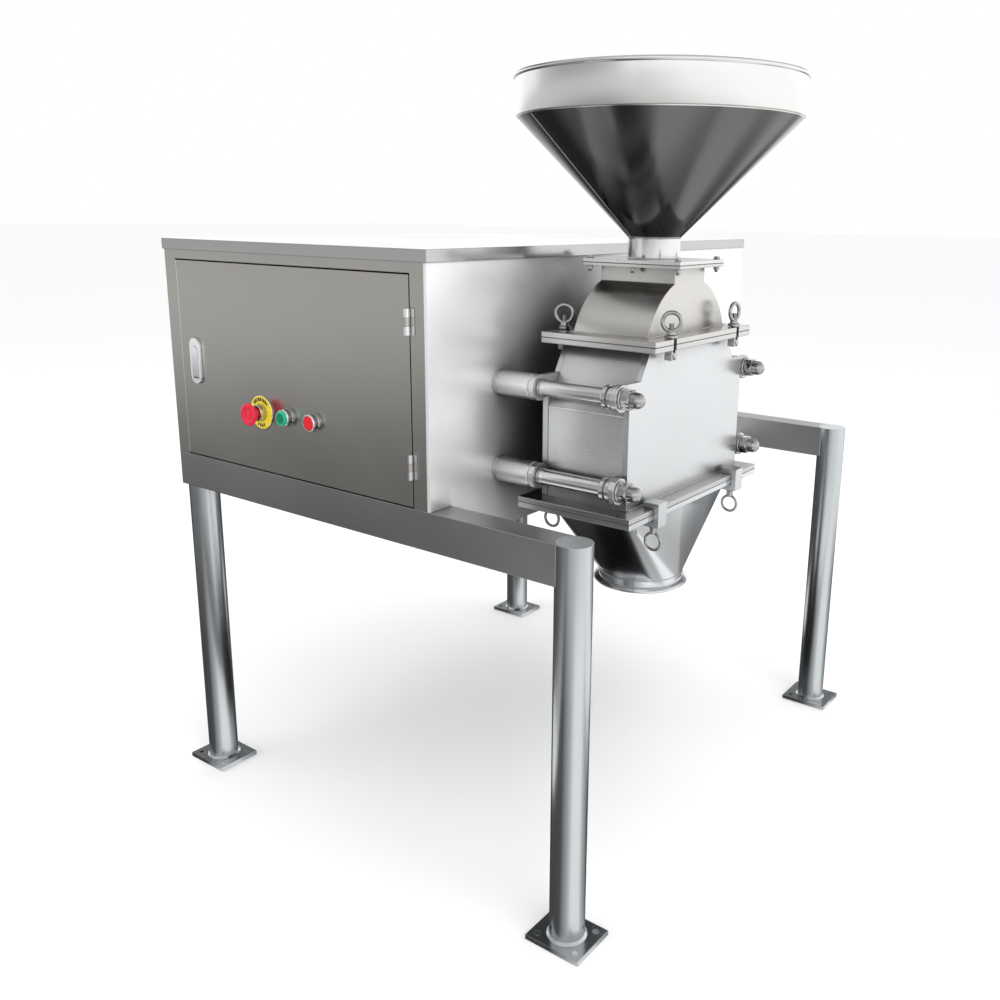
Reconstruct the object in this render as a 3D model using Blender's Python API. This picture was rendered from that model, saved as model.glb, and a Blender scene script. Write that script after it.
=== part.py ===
"""A hammer mill: a stainless cabinet on four tube legs, with the mill head hung off one end of it.

The model is laid out from the cabinet's head wall: x = 0 is that wall's outer face, with the mill at
+X and the cabinet at -X. y = 0 is the cabinet's middle, with the door at -Y. z = 0 is the floor. One
empty carries every piece and shifts that layout so that the origin lies under the middle of the box
that the whole machine fills. Sizes are in metres.
"""

import math

import bmesh
import bpy
from mathutils import Matrix, Vector

GAP = 0.0003  # between pieces that touch

# Frame
CABINET_LENGTH = 0.653
CABINET_WIDTH = 1.051
BEAM_BOTTOM = 0.593
BEAM_HEIGHT = 0.064
BEAM_WIDTH = 0.050
BEAM_WALL = 0.003
BEAM_TOP = BEAM_BOTTOM + BEAM_HEIGHT
LEG_RADIUS = 0.0285
LEG_WALL = 0.003
LEG_SIDES = 28
HEAD_LEG_X = 0.254
TAIL_LEG_X = -0.6265
TAIL_LEG_INSET = 0.004  # the tail legs stand this far inside the beams' middle lines
FOOT_PLATE = (0.100, 0.086, 0.008)
FOOT_HOLE_RADIUS = 0.0055
FOOT_HOLE_INSET = 0.014
FOOT_WELD = 0.004

# Cabinet
SHEET = 0.002
LID_TOP = 1.057
LID_EDGE = 0.019
LID_OVERHANG = 0.0026
WALL_TOP = LID_TOP - SHEET - GAP
HEAD_WALL = 0.006
VENT_LENGTH, VENT_HEIGHT = 0.160, 0.005
VENT_BOTTOM, VENT_PITCH, VENT_ROWS = 0.720, 0.014, 9
DOOR_LEFT, DOOR_RIGHT = -0.620, -0.037
DOOR_BOTTOM, DOOR_TOP = 0.6595, 1.019
DOOR_GAP = 0.0025
DOOR_DEPTH = 0.018
DOOR_STOP = 0.012  # how far the stop behind the door reaches into its opening
HINGE_RADIUS = 0.0052
HINGE_HEIGHT = 0.040
HINGE_LEAF = 0.011
HINGE_HEIGHTS = {"lower": 0.7258, "upper": 0.950}
HINGE_PIN_RADIUS = 0.0023
LATCH_X, LATCH_Z = -0.5757, 0.8388
LATCH_SIZE = (0.030, 0.0845)
LATCH_PROUD = 0.005
LATCH_DEPTH = 0.014
PADDLE_WIDTH = 0.017
PADDLE_TOP = 0.866
PADDLE_PIVOT_Z = 0.812
PADDLE_HEEL_RADIUS = 0.0052
PADDLE_PIN_RADIUS = 0.002
CONTROL_Z = 0.7655
CONTROL_BARREL = 0.011  # radius of the hole in the door that each control passes through
CONTROL_BACK = 0.046  # how far the contact blocks reach behind the door's face
ESTOP_X = -0.3965
ESTOP_PROUD = 0.0325
BUTTON_RADIUS = 0.0122
BUTTONS = {"start": (-0.328, "green_plastic", 0.0175), "stop": (-0.262, "red_plastic", 0.0135)}

# Mill head
MILL_Y = -0.1407
SHAFT_Z = 0.772
BACK_PLATE = (0.071, 0.081)
FRONT_PLATE = (0.225, 0.235)
ROD_SPREAD = 0.2108
ROD_HEIGHTS = {"lower": 0.6946, "upper": 0.840}
EAR_RADIUS = 0.0215
PLATE_HALF_WIDTH = 0.191
SIDE_HALF_WIDTH = 0.190
SIDE_SHEET = 0.005
CREASE_Z = 0.807
NECK_HALF_WIDTH = 0.133  # half width of the sloping sides where they meet the inlet flange
STANDOFF_RADIUS = 0.021
ROD_RADIUS = 0.0128
STUD_RADIUS = 0.0095
ROD_SIDES = 16
COLLAR_RADIUS = 0.0190
NUT_FLATS = 0.029

# Flange joints: each is an upper and a lower plate
FLANGE_X = (0.0463, 0.2612)
INLET_HALF_WIDTH = 0.164
INLET_Z = (0.9048, 0.9136, 0.9224)
DISCHARGE_HALF_WIDTH = 0.224
DISCHARGE_Z = (0.6394, 0.6481, 0.6568)
FEED_X = (0.0646, 0.2482)
FEED_HALF_WIDTH = 0.0748
FEED_Z = (1.0267, 1.03255, 1.0384)

# Chute, hopper and outlet
CHUTE_X = (0.086, 0.226)
CHUTE_THROAT = 0.050
CHUTE_SHOULDER_Z = 1.002
CHUTE_HALF_WIDTH = 0.131
CHUTE_ARC_RADIUS = 0.133
CHUTE_SHEET = 0.003
HOPPER_X = 0.1561
HOPPER_SHEET = 0.002
HOPPER_NECK_RADIUS = 0.0435
HOPPER_CONE_BOTTOM = 1.0727
HOPPER_CONE_TOP = 1.2594
HOPPER_TOP = 1.323
HOPPER_RADIUS = 0.2300
HOPPER_RIM_RADIUS = 0.2361
OUTLET_X = 0.1524
OUTLET_NECK_RADIUS = 0.0747
OUTLET_NECK_TOP = 0.4925
OUTLET_BOTTOM = 0.4734
FERRULE_RADIUS = 0.0837
FERRULE_LIP = 0.0045

# Fasteners of the flange joints
SWING_Y = 0.110
SWING_SHIFT = {"front": 0.0067, "rear": -0.0015}  # how far each pair's middle is from the mill's
SWING_INSET = 0.008
SWING_PIVOT_Z = 0.8955
SWING_BOLT_RADIUS = 0.004
SWING_EYE_RADIUS = 0.0078
SWING_EYE_WIDTH = 0.0072
SWING_PIN_RADIUS = 0.003
SWING_RING_Z = 0.9485
SWING_RING = (0.0144, 0.0034)
SWING_RING_TURNS = {"front_door": 25, "front_back": 85, "rear_door": 25, "rear_back": 60}  # degrees
EYE_NUT_BASE = 0.0105
EYE_NUT_NECK = 0.0074
CLAMP_Y = 0.1375
CLAMP_WIDTH = 0.027
CLAMP_DEPTH = 0.028
CLAMP_WEB = 0.009
CLAMP_Z = (0.627, 0.6662)
CLAMP_ARMS = (0.6365, 0.6571)  # top of the lower arm, underside of the upper arm
CLAMP_SCREW_RADIUS = 0.005
CLAMP_RING_Z = 0.599
CLAMP_RING = (0.0142, 0.0024)

# Drive and rotor
SPINDLE_LENGTH = 0.190
SPINDLE_RADIUS = 0.045
SPINDLE_FLANGE_RADIUS = 0.070
SPINDLE_HOLE_RADIUS = 0.027
SHAFT_RADIUS = 0.019
SPINDLE_PULLEY_RADIUS = 0.050
MOTOR_PULLEY_RADIUS = 0.070
PULLEY_WIDTH = 0.030
PULLEY_X = -0.262
BELT_DEPTH = 0.009
BELT_WIDTH = 0.016
BELT_CLEARANCE = 0.0012  # under the belt in its grooves
MOTOR_Y = 0.200
MOTOR_Z = 0.779
MOTOR_SHAFT_HEIGHT = 0.112
MOTOR_SHAFT_RADIUS = 0.014
MOTOR_RADIUS = 0.092
MOTOR_BODY = (-0.610, -0.330)
MOTOR_FINS = 12
ROTOR_DISCS = (0.100, 0.198)
ROTOR_DISC_WIDTH = 0.008
ROTOR_RADIUS = 0.078
HUB_RADIUS = 0.030
PIN_CIRCLE = 0.060
PIN_RADIUS = 0.006
HAMMER_REACH = 0.056
HAMMER_WIDTH = 0.028
HAMMER_BLADE = 0.008
HAMMER_BLADES = 3
SCREEN_RADIUS = 0.121
SCREEN_SHEET = 0.002
SCREEN_EDGE = 0.168  # half width across the screen's flat edges
SCREEN_HOLE_RADIUS = 0.008
SCREEN_ROWS, SCREEN_COLUMNS = 7, 3

FINISHES = {
    "brushed_stainless": ((0.55, 0.54, 0.53), 0.34, 1.0),
    "satin_stainless": ((0.72, 0.72, 0.71), 0.28, 1.0),
    "polished_stainless": ((0.80, 0.80, 0.80), 0.12, 1.0),
    "chrome": ((0.85, 0.85, 0.86), 0.08, 1.0),
    "red_plastic": ((0.75, 0.03, 0.03), 0.35, 0.0),
    "green_plastic": ((0.02, 0.45, 0.20), 0.35, 0.0),
    "motor_paint": ((0.20, 0.25, 0.30), 0.50, 0.0),
    "cast_iron": ((0.18, 0.18, 0.18), 0.60, 0.6),
    "hard_steel": ((0.40, 0.39, 0.38), 0.40, 1.0),
    "rubber": ((0.03, 0.03, 0.03), 0.80, 0.0),
}

ENDS = {"head": HEAD_LEG_X, "tail": TAIL_LEG_X}
SIDES = {"door": -1, "back": 1}
BEAM_MIDDLE = CABINET_WIDTH / 2 - BEAM_WIDTH / 2
INNER_HALF_WIDTH = CABINET_WIDTH / 2 - BEAM_WIDTH
FLANGE_MIDDLE = sum(FLANGE_X) / 2
HEAD_CORNERS = [(side, level) for side in SIDES for level in ROD_HEIGHTS]
FRONT_AND_REAR = {"front": 1, "rear": -1}
SHELF_TOP = MOTOR_Z - MOTOR_SHAFT_HEIGHT
DOOR_SIDE = -CABINET_WIDTH / 2


# ---------------------------------------------------------------- shapes

def moved(shape, matrix):
    bmesh.ops.transform(shape, matrix=matrix, verts=shape.verts)
    return shape


def block(low, high):
    """A box between two corners."""
    shape = bmesh.new()
    bmesh.ops.create_cube(shape, size=1)
    size = Vector(high) - Vector(low)
    middle = (Vector(high) + Vector(low)) / 2
    return moved(shape, Matrix.Translation(middle) @ Matrix.Diagonal((*size, 1)))


def sweep(outline, axis, low, high):
    """A flat outline swept along X, Y or Z. Its points are in the two other axes, in alphabetical order."""
    shape = bmesh.new()

    def point(pair, along):
        where = list(pair)
        where.insert("XYZ".index(axis), along)
        return shape.verts.new(where)

    near = [point(pair, low) for pair in outline]
    far = [point(pair, high) for pair in outline]
    shape.faces.new(near)
    shape.faces.new(far)
    for index in range(len(outline)):
        following = (index + 1) % len(outline)
        shape.faces.new((near[index], near[following], far[following], far[index]))
    bmesh.ops.recalc_face_normals(shape, faces=shape.faces)
    return shape


def turned(profile, axis, centre, segments):
    """A closed outline of (distance along the axis, radius) points, spun round an axis through centre."""
    shape = bmesh.new()
    main = "XYZ".index(axis)
    first, second = (index for index in range(3) if index != main)

    def point(along, radius, angle):
        where = list(centre)
        where[main] += along
        where[first] += radius * math.cos(angle)
        where[second] += radius * math.sin(angle)
        return shape.verts.new(where)

    rings = []
    for along, radius in profile:
        steps = segments if radius > 0 else 1
        rings.append([point(along, radius, math.tau * step / segments) for step in range(steps)])
    for ring, following in zip(rings, rings[1:] + rings[:1]):
        if len(ring) == len(following) == 1:
            continue
        for step in range(segments):
            corners = [
                ring[step % len(ring)],
                ring[(step + 1) % len(ring)],
                following[(step + 1) % len(following)],
                following[step % len(following)],
            ]
            shape.faces.new(dict.fromkeys(corners))
    bmesh.ops.recalc_face_normals(shape, faces=shape.faces)
    return shape


def rod(axis, start, end, radius, centre, segments=20):
    """A plain cylinder from start to end along an axis through centre."""
    main = "XYZ".index(axis)
    middle = [0 if index == main else value for index, value in enumerate(centre)]
    return turned([(start, 0), (start, radius), (end, radius), (end, 0)], axis, middle, segments)


def torus(axis, centre, ring_radius, wire_radius, segments=16, sides=6):
    """A ring of round wire."""
    angles = [math.tau * side / sides for side in range(sides)]
    profile = [(wire_radius * math.sin(a), ring_radius + wire_radius * math.cos(a)) for a in angles]
    return turned(profile, axis, centre, segments)


def hexagon(across_flats):
    """The corners of a hexagon round the origin."""
    radius = across_flats / math.sqrt(3)
    return [(radius * math.cos(math.tau * k / 6), radius * math.sin(math.tau * k / 6)) for k in range(6)]


def arc(centre, radius, start, end, steps):
    """Points along an arc, from one angle to another in degrees."""
    angles = [math.radians(start + (end - start) * step / steps) for step in range(steps + 1)]
    return [(centre[0] + radius * math.cos(a), centre[1] + radius * math.sin(a)) for a in angles]


# ---------------------------------------------------------------- objects

def clear_scene():
    for old in list(bpy.data.objects):
        bpy.data.objects.remove(old, do_unlink=True)


def make_finishes():
    made = {}
    for name, (colour, roughness, metallic) in FINISHES.items():
        material = bpy.data.materials.new(name)
        material.use_nodes = True
        shader = material.node_tree.nodes["Principled BSDF"]
        shader.inputs["Base Color"].default_value = (*colour, 1)
        shader.inputs["Roughness"].default_value = roughness
        shader.inputs["Metallic"].default_value = metallic
        material.diffuse_color = (*colour, 1)
        made[name] = material
    return made


def object_from(shape, name, origin):
    """An object under the machine's empty, whose own origin is at a point of the layout."""
    moved(shape, Matrix.Translation(-Vector(origin)))
    mesh = bpy.data.meshes.new(name)
    shape.to_mesh(mesh)
    shape.free()
    made = bpy.data.objects.new(name, mesh)
    made.location = origin
    made.parent = machine
    bpy.context.collection.objects.link(made)
    return made


def part(name, shape, finish, origin=None, add=(), cut=(), rejoin=()):
    """One piece: a shape, the shapes joined to it, those then cut from it, and those joined last."""
    if origin is None:
        corners = [vertex.co for vertex in shape.verts]
        origin = sum(corners, Vector()) / len(corners)
    made = object_from(shape, name, origin)
    made.data.materials.append(finishes[finish])
    steps = (("add", "UNION", add), ("cut", "DIFFERENCE", cut), ("rejoin", "UNION", rejoin))
    for step, operation, shapes in steps:
        for number, other in enumerate(shapes):
            helper = object_from(other, f"{name}_{step}_{number}", origin)
            helper.hide_render = True
            helper.display_type = "WIRE"
            boolean = made.modifiers.new(helper.name, "BOOLEAN")
            boolean.operation = operation
            boolean.solver = "EXACT"
            boolean.object = helper
    made.data.shade_smooth()
    made.data.set_sharp_from_angle(angle=math.radians(35))
    return made


# ---------------------------------------------------------------- frame

def leg_position(end, side):
    inset = TAIL_LEG_INSET if end == "tail" else 0
    return ENDS[end], SIDES[side] * (BEAM_MIDDLE - inset)


def foot_holes(x, y):
    length, width, thickness = FOOT_PLATE
    for across in (-1, 1):
        for along in (-1, 1):
            hole_x = x + across * (length / 2 - FOOT_HOLE_INSET)
            hole_y = y + along * (width / 2 - FOOT_HOLE_INSET)
            hole = (hole_x, hole_y, 0)
            yield rod("Z", -thickness, 2 * thickness, FOOT_HOLE_RADIUS, hole, segments=10)


def make_legs():
    """Each leg is a tube, capped on top, welded to its foot plate. The plate's middle is open below."""
    length, width, thickness = FOOT_PLATE
    for end in ENDS:
        for side in SIDES:
            x, y = leg_position(end, side)
            top = BEAM_TOP if end == "head" else BEAM_BOTTOM - GAP
            inner = LEG_RADIUS - LEG_WALL
            weld_top = thickness + FOOT_WELD
            tube = [
                (0.001, inner),
                (0.001, LEG_RADIUS + FOOT_WELD),
                (thickness, LEG_RADIUS + FOOT_WELD),
                (weld_top, LEG_RADIUS),
                (top, LEG_RADIUS),
                (top, 0),
                (top - LEG_WALL, 0),
                (top - LEG_WALL, inner),
            ]
            corner = Vector((length / 2, width / 2, 0))
            foot = Vector((x, y, 0))
            plate = block(foot - corner, foot + corner + Vector((0, 0, thickness)))
            bore = rod("Z", -thickness, 2 * thickness, inner, (x, y, 0), segments=LEG_SIDES)
            part(
                f"leg_{end}_{side}",
                turned(tube, "Z", (x, y, 0), LEG_SIDES),
                "satin_stainless",
                origin=(x, y, 0),
                add=[plate],
                cut=[bore, *foot_holes(x, y)],
            )


def make_side_beams():
    """Rectangular tubes, open at the tail and coped round the head legs."""
    for side, sign in SIDES.items():
        y = sign * BEAM_MIDDLE
        half = BEAM_WIDTH / 2
        leg_x, leg_y = leg_position("head", side)
        bore = block(
            (-1, y - half + BEAM_WALL, BEAM_BOTTOM + BEAM_WALL),
            (leg_x - LEG_RADIUS - BEAM_WALL, y + half - BEAM_WALL, BEAM_TOP - BEAM_WALL),
        )
        cope = rod("Z", 0, 1, LEG_RADIUS + GAP, (leg_x, leg_y, 0), segments=LEG_SIDES)
        part(
            f"side_beam_{side}",
            block((-CABINET_LENGTH, y - half, BEAM_BOTTOM), (leg_x, y + half, BEAM_TOP)),
            "brushed_stainless",
            cut=[bore, cope],
        )


def make_motor_shelf():
    """A plate on two cross ribs that ties the side beams together and carries the motor."""
    shelf_thickness = 0.008
    rib_width = 0.040
    tail, head = -CABINET_LENGTH + SHEET + GAP, -0.300
    half = INNER_HALF_WIDTH - GAP
    ribs = [
        block((x, -half, BEAM_BOTTOM + 0.010), (x + rib_width, half, SHELF_TOP - shelf_thickness / 2))
        for x in (tail, head - rib_width)
    ]
    plate = block((tail, -half, SHELF_TOP - shelf_thickness), (head, half, SHELF_TOP))
    part("motor_shelf", plate, "brushed_stainless", add=ribs)


# ---------------------------------------------------------------- cabinet

def make_walls():
    """The two long sides and the tail. The door side has a folded frame and a strip the door closes on."""
    half = CABINET_WIDTH / 2
    floor = BEAM_TOP + GAP
    tail = -CABINET_LENGTH
    behind_head = -HEAD_WALL - GAP

    opening = block(
        (DOOR_LEFT - DOOR_GAP, DOOR_SIDE - SHEET, floor - SHEET),
        (DOOR_RIGHT + DOOR_GAP, DOOR_SIDE + 2 * SHEET, DOOR_TOP + DOOR_GAP),
    )
    fold = 0.012
    strip_low, strip_high = DOOR_SIDE + DOOR_DEPTH + SHEET, DOOR_SIDE + DOOR_DEPTH + 2 * SHEET
    frame_outline = [
        (DOOR_LEFT - fold, floor),
        (DOOR_LEFT - fold, DOOR_TOP + fold),
        (DOOR_RIGHT + fold, DOOR_TOP + fold),
        (DOOR_RIGHT + fold, floor),
        (DOOR_RIGHT + DOOR_GAP, floor),
        (DOOR_RIGHT + DOOR_GAP, DOOR_TOP + DOOR_GAP),
        (DOOR_LEFT - DOOR_GAP, DOOR_TOP + DOOR_GAP),
        (DOOR_LEFT - DOOR_GAP, floor),
    ]
    frame = sweep(frame_outline, "Y", DOOR_SIDE + SHEET / 2, strip_high)
    strip = block(
        (DOOR_LEFT - fold / 2, strip_low, floor),
        (DOOR_LEFT + DOOR_STOP, strip_high, DOOR_TOP),
    )
    door_side = block((tail, DOOR_SIDE, floor), (behind_head, DOOR_SIDE + SHEET, WALL_TOP))
    part("door_side_panel", door_side, "brushed_stainless", cut=[opening], rejoin=[frame, strip])

    back_side = block((tail, half - SHEET, floor), (behind_head, half, WALL_TOP))
    part("back_side_panel", back_side, "brushed_stainless")

    tail_panel = block((tail, -half + SHEET + GAP, floor), (tail + SHEET, half - SHEET - GAP, WALL_TOP))
    vents = []
    for row in range(VENT_ROWS):
        low = VENT_BOTTOM + VENT_PITCH * row
        vents.append(block(
            (tail - SHEET, MOTOR_Y - VENT_LENGTH / 2, low),
            (tail + 2 * SHEET, MOTOR_Y + VENT_LENGTH / 2, low + VENT_HEIGHT),
        ))
    part("tail_panel", tail_panel, "brushed_stainless", cut=vents)


def make_head_wall():
    """The thick wall that carries the mill, with its four welded stand-offs."""
    half = CABINET_WIDTH / 2
    inner = INNER_HALF_WIDTH - GAP
    outline = [
        (-inner, BEAM_BOTTOM),
        (inner, BEAM_BOTTOM),
        (inner, BEAM_TOP + GAP),
        (half, BEAM_TOP + GAP),
        (half, WALL_TOP),
        (-half, WALL_TOP),
        (-half, BEAM_TOP + GAP),
        (-inner, BEAM_TOP + GAP),
    ]
    root, tip = -0.4 * HEAD_WALL, BACK_PLATE[0] - GAP
    chamfer = 0.0025
    profile = [
        (root, 0),
        (root, STANDOFF_RADIUS),
        (tip - chamfer, STANDOFF_RADIUS),
        (tip, STANDOFF_RADIUS - chamfer),
        (tip, 0),
    ]
    standoffs = []
    holes = [rod("X", -0.1, 0.1, SPINDLE_HOLE_RADIUS, (0, MILL_Y, SHAFT_Z), segments=24)]
    for side, level in HEAD_CORNERS:
        centre = rod_centre(side, level)
        standoffs.append(turned(profile, "X", centre, 24))
        holes.append(rod("X", -0.1, 0.1, STUD_RADIUS + GAP, centre, segments=ROD_SIDES))
    wall = sweep(outline, "X", -HEAD_WALL, 0)
    part("head_wall", wall, "satin_stainless", origin=(0, MILL_Y, SHAFT_Z), add=standoffs, cut=holes)


def make_lid():
    half_width = CABINET_WIDTH / 2 + LID_OVERHANG
    low = (-CABINET_LENGTH - LID_OVERHANG, -half_width, LID_TOP - LID_EDGE)
    high = (LID_OVERHANG, half_width, LID_TOP)
    skirt = LID_OVERHANG - 2 * GAP
    inside_low = (low[0] + skirt, low[1] + skirt, low[2] - skirt)
    inside_high = (high[0] - skirt, high[1] - skirt, LID_TOP - SHEET)
    part("lid", block(low, high), "brushed_stainless", cut=[block(inside_low, inside_high)])


# ---------------------------------------------------------------- door and controls

def hinge_axis():
    return DOOR_RIGHT + DOOR_GAP / 2, DOOR_SIDE - HINGE_RADIUS - 0.0008


def on_hinge(low, high, radius):
    """A cylinder on the hinges' axis."""
    return rod("Z", low, high, radius, (*hinge_axis(), 0), segments=16)


def hinge_leaf(sign, inner_face, low, high):
    """A flat leaf from the hinge's axis out over the sheet, on one side of the door's gap."""
    x, _ = hinge_axis()
    reach = x + sign * HINGE_LEAF
    return block((min(x, reach), DOOR_SIDE - 0.0021, low), (max(x, reach), inner_face, high))


def make_hinges():
    """The fixed half of each hinge, with the pin. The moving half is part of the door."""
    third = HINGE_HEIGHT / 3
    for level, middle in HINGE_HEIGHTS.items():
        low, high = middle - HINGE_HEIGHT / 2, middle + HINGE_HEIGHT / 2
        part(
            f"door_hinge_{level}",
            hinge_leaf(1, DOOR_SIDE - GAP, low, high),
            "chrome",
            origin=(*hinge_axis(), middle),
            add=[
                on_hinge(low, low + third, HINGE_RADIUS),
                on_hinge(high - third, high, HINGE_RADIUS),
            ],
            cut=[on_hinge(low + third, high - third, HINGE_RADIUS + GAP)],
            rejoin=[on_hinge(low + third / 2, high - third / 2, HINGE_PIN_RADIUS)],
        )


def door_hole(x, z, radius):
    return rod("Y", DOOR_SIDE - 0.01, DOOR_SIDE + 0.03, radius, (x, 0, z), segments=24)


def make_door():
    """A folded pan, with the moving halves of the hinges and holes for the controls and the latch."""
    x, y = hinge_axis()
    pan = block((DOOR_LEFT, DOOR_SIDE, DOOR_BOTTOM), (DOOR_RIGHT, DOOR_SIDE + DOOR_DEPTH, DOOR_TOP))
    inside = block(
        (DOOR_LEFT + SHEET, DOOR_SIDE + SHEET, DOOR_BOTTOM + SHEET),
        (DOOR_RIGHT - SHEET, DOOR_SIDE + 2 * DOOR_DEPTH, DOOR_TOP - SHEET),
    )
    width, height = latch_hole()
    recess = obround(width + 2 * GAP, height + 2 * GAP, LATCH_Z)
    latch = sweep(recess, "Y", DOOR_SIDE - 0.01, DOOR_SIDE + 0.03)
    controls = [ESTOP_X, *(button_x for button_x, _, _ in BUTTONS.values())]
    holes = [door_hole(control_x, CONTROL_Z, CONTROL_BARREL + GAP) for control_x in controls]
    third = HINGE_HEIGHT / 3
    halves, bores = [], []
    for middle in HINGE_HEIGHTS.values():
        low, high = middle - third / 2 + GAP, middle + third / 2 - GAP
        halves.append(hinge_leaf(-1, DOOR_SIDE + SHEET / 2, low, high))
        halves.append(on_hinge(low, high, HINGE_RADIUS))
        bores.append(on_hinge(low - 0.01, high + 0.01, HINGE_PIN_RADIUS + GAP))
    beyond_edge = block((DOOR_RIGHT, DOOR_SIDE - GAP, DOOR_BOTTOM), (0, 0, DOOR_TOP))
    part(
        "door",
        pan,
        "brushed_stainless",
        origin=(x, y, (DOOR_BOTTOM + DOOR_TOP) / 2),
        add=halves,
        cut=[inside, latch, *holes, *bores, beyond_edge],
    )


def obround(width, height, middle_z, steps=8):
    """A slot-shaped outline in X and Z round the latch's middle line."""
    straight = (height - width) / 2
    upper = arc((LATCH_X, middle_z + straight), width / 2, 0, 180, steps)
    lower = arc((LATCH_X, middle_z - straight), width / 2, 180, 360, steps)
    return upper + lower


def tongue(width, top, bottom, steps=8):
    """An outline in X and Z on the latch's middle line, with a round top and a flat bottom."""
    corners = [(LATCH_X - width / 2, bottom), (LATCH_X + width / 2, bottom)]
    return corners + arc((LATCH_X, top - width / 2), width / 2, 0, 180, steps)


def latch_hole():
    """Width and height of the cup where it passes through the door."""
    rim = 0.004
    return LATCH_SIZE[0] - 2 * rim, LATCH_SIZE[1] - 2 * rim


def make_latch():
    """A raised cup in the door, and a paddle that lies in it and swings out at its upper end."""
    front = DOOR_SIDE - LATCH_PROUD
    back = DOOR_SIDE + LATCH_DEPTH
    wall = 0.002
    half = PADDLE_WIDTH / 2
    paddle_front, paddle_back = front - 0.0012, front + 0.0018
    pivot_y = paddle_front + PADDLE_HEEL_RADIUS
    pivot = (0, pivot_y, PADDLE_PIVOT_Z)
    hollow_bottom = PADDLE_PIVOT_Z - PADDLE_HEEL_RADIUS - GAP
    hollow = tongue(PADDLE_WIDTH + 2 * GAP, PADDLE_TOP + GAP, hollow_bottom)
    left, right = LATCH_X - half, LATCH_X + half
    part(
        "latch_cup",
        sweep(obround(*LATCH_SIZE, LATCH_Z), "Y", front, DOOR_SIDE - GAP),
        "chrome",
        add=[sweep(obround(*latch_hole(), LATCH_Z), "Y", DOOR_SIDE - LATCH_PROUD / 2, back)],
        cut=[sweep(hollow, "Y", front - wall, back - wall)],
        rejoin=[rod("X", left - wall / 2, right + wall / 2, PADDLE_PIN_RADIUS, pivot, segments=10)],
    )
    plate = tongue(PADDLE_WIDTH, PADDLE_TOP, PADDLE_PIVOT_Z)
    part(
        "latch_paddle",
        sweep(plate, "Y", paddle_front, paddle_back),
        "chrome",
        origin=(LATCH_X, pivot_y, PADDLE_PIVOT_Z),
        add=[rod("X", left, right, PADDLE_HEEL_RADIUS, pivot, segments=20)],
        cut=[rod("X", -1, 1, PADDLE_PIN_RADIUS + GAP, pivot, segments=10)],
    )


def make_estop():
    """Emergency stop: a legend disc and collar fixed to the door, and a mushroom head that pushes in."""
    centre = (ESTOP_X, DOOR_SIDE, CONTROL_Z)
    disc, collar, block_radius, stem = 0.030, 0.0145, 0.0165, 0.0085
    body = [
        (-0.0135, stem + GAP),
        (-0.0135, collar - 0.001),
        (-0.0125, collar),
        (-0.0022, collar),
        (-0.0022, disc - 0.0006),
        (-0.0016, disc),
        (-GAP, disc),
        (-GAP, CONTROL_BARREL),
        (0.012, CONTROL_BARREL),
        (0.012, block_radius),
        (CONTROL_BACK, block_radius),
        (CONTROL_BACK, 0),
        (0.030, 0),
        (0.030, stem + GAP),
    ]
    part("estop_body", turned(body, "Y", centre, 24), "brushed_stainless", origin=centre)
    head = [
        (-ESTOP_PROUD, 0),
        (-ESTOP_PROUD, 0.0150),
        (-0.0312, 0.0190),
        (-0.0292, 0.0200),
        (-0.0274, 0.0196),
        (-0.0255, 0.0168),
        (-0.0230, 0.0148),
        (-0.0203, 0.0140),
        (-0.0203, stem),
        (0.0225, stem),
        (0.0225, 0),
    ]
    part("estop_head", turned(head, "Y", centre, 24), "red_plastic", origin=centre)


def make_buttons():
    """Each button is a bezel with its contact block behind the door, and a cap that pushes in."""
    bezel_proud, bezel_radius, block_radius = 0.0125, 0.0145, 0.0150
    floor, cap_back, stem, edge = -0.0040, -0.0080, 0.0070, 0.0012
    for name, (x, finish, cap_proud) in BUTTONS.items():
        centre = (x, DOOR_SIDE, CONTROL_Z)
        bezel = [
            (-bezel_proud, BUTTON_RADIUS + GAP),
            (-bezel_proud, bezel_radius - 0.0010),
            (-bezel_proud + 0.0010, bezel_radius),
            (-GAP, bezel_radius),
            (-GAP, CONTROL_BARREL),
            (0.012, CONTROL_BARREL),
            (0.012, block_radius),
            (CONTROL_BACK, block_radius),
            (CONTROL_BACK, 0),
            (0.014, 0),
            (0.014, stem + 0.001),
            (floor, stem + 0.001),
            (floor, BUTTON_RADIUS + GAP),
        ]
        part(f"{name}_bezel", turned(bezel, "Y", centre, 20), "chrome", origin=centre)
        cap = [
            (-cap_proud, 0),
            (-cap_proud, BUTTON_RADIUS - edge),
            (-cap_proud + edge, BUTTON_RADIUS),
            (cap_back, BUTTON_RADIUS),
            (cap_back, stem),
            (0.0095, stem),
            (0.0095, 0),
        ]
        part(f"{name}_button", turned(cap, "Y", centre, 20), finish, origin=centre)


# ---------------------------------------------------------------- mill head

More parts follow.
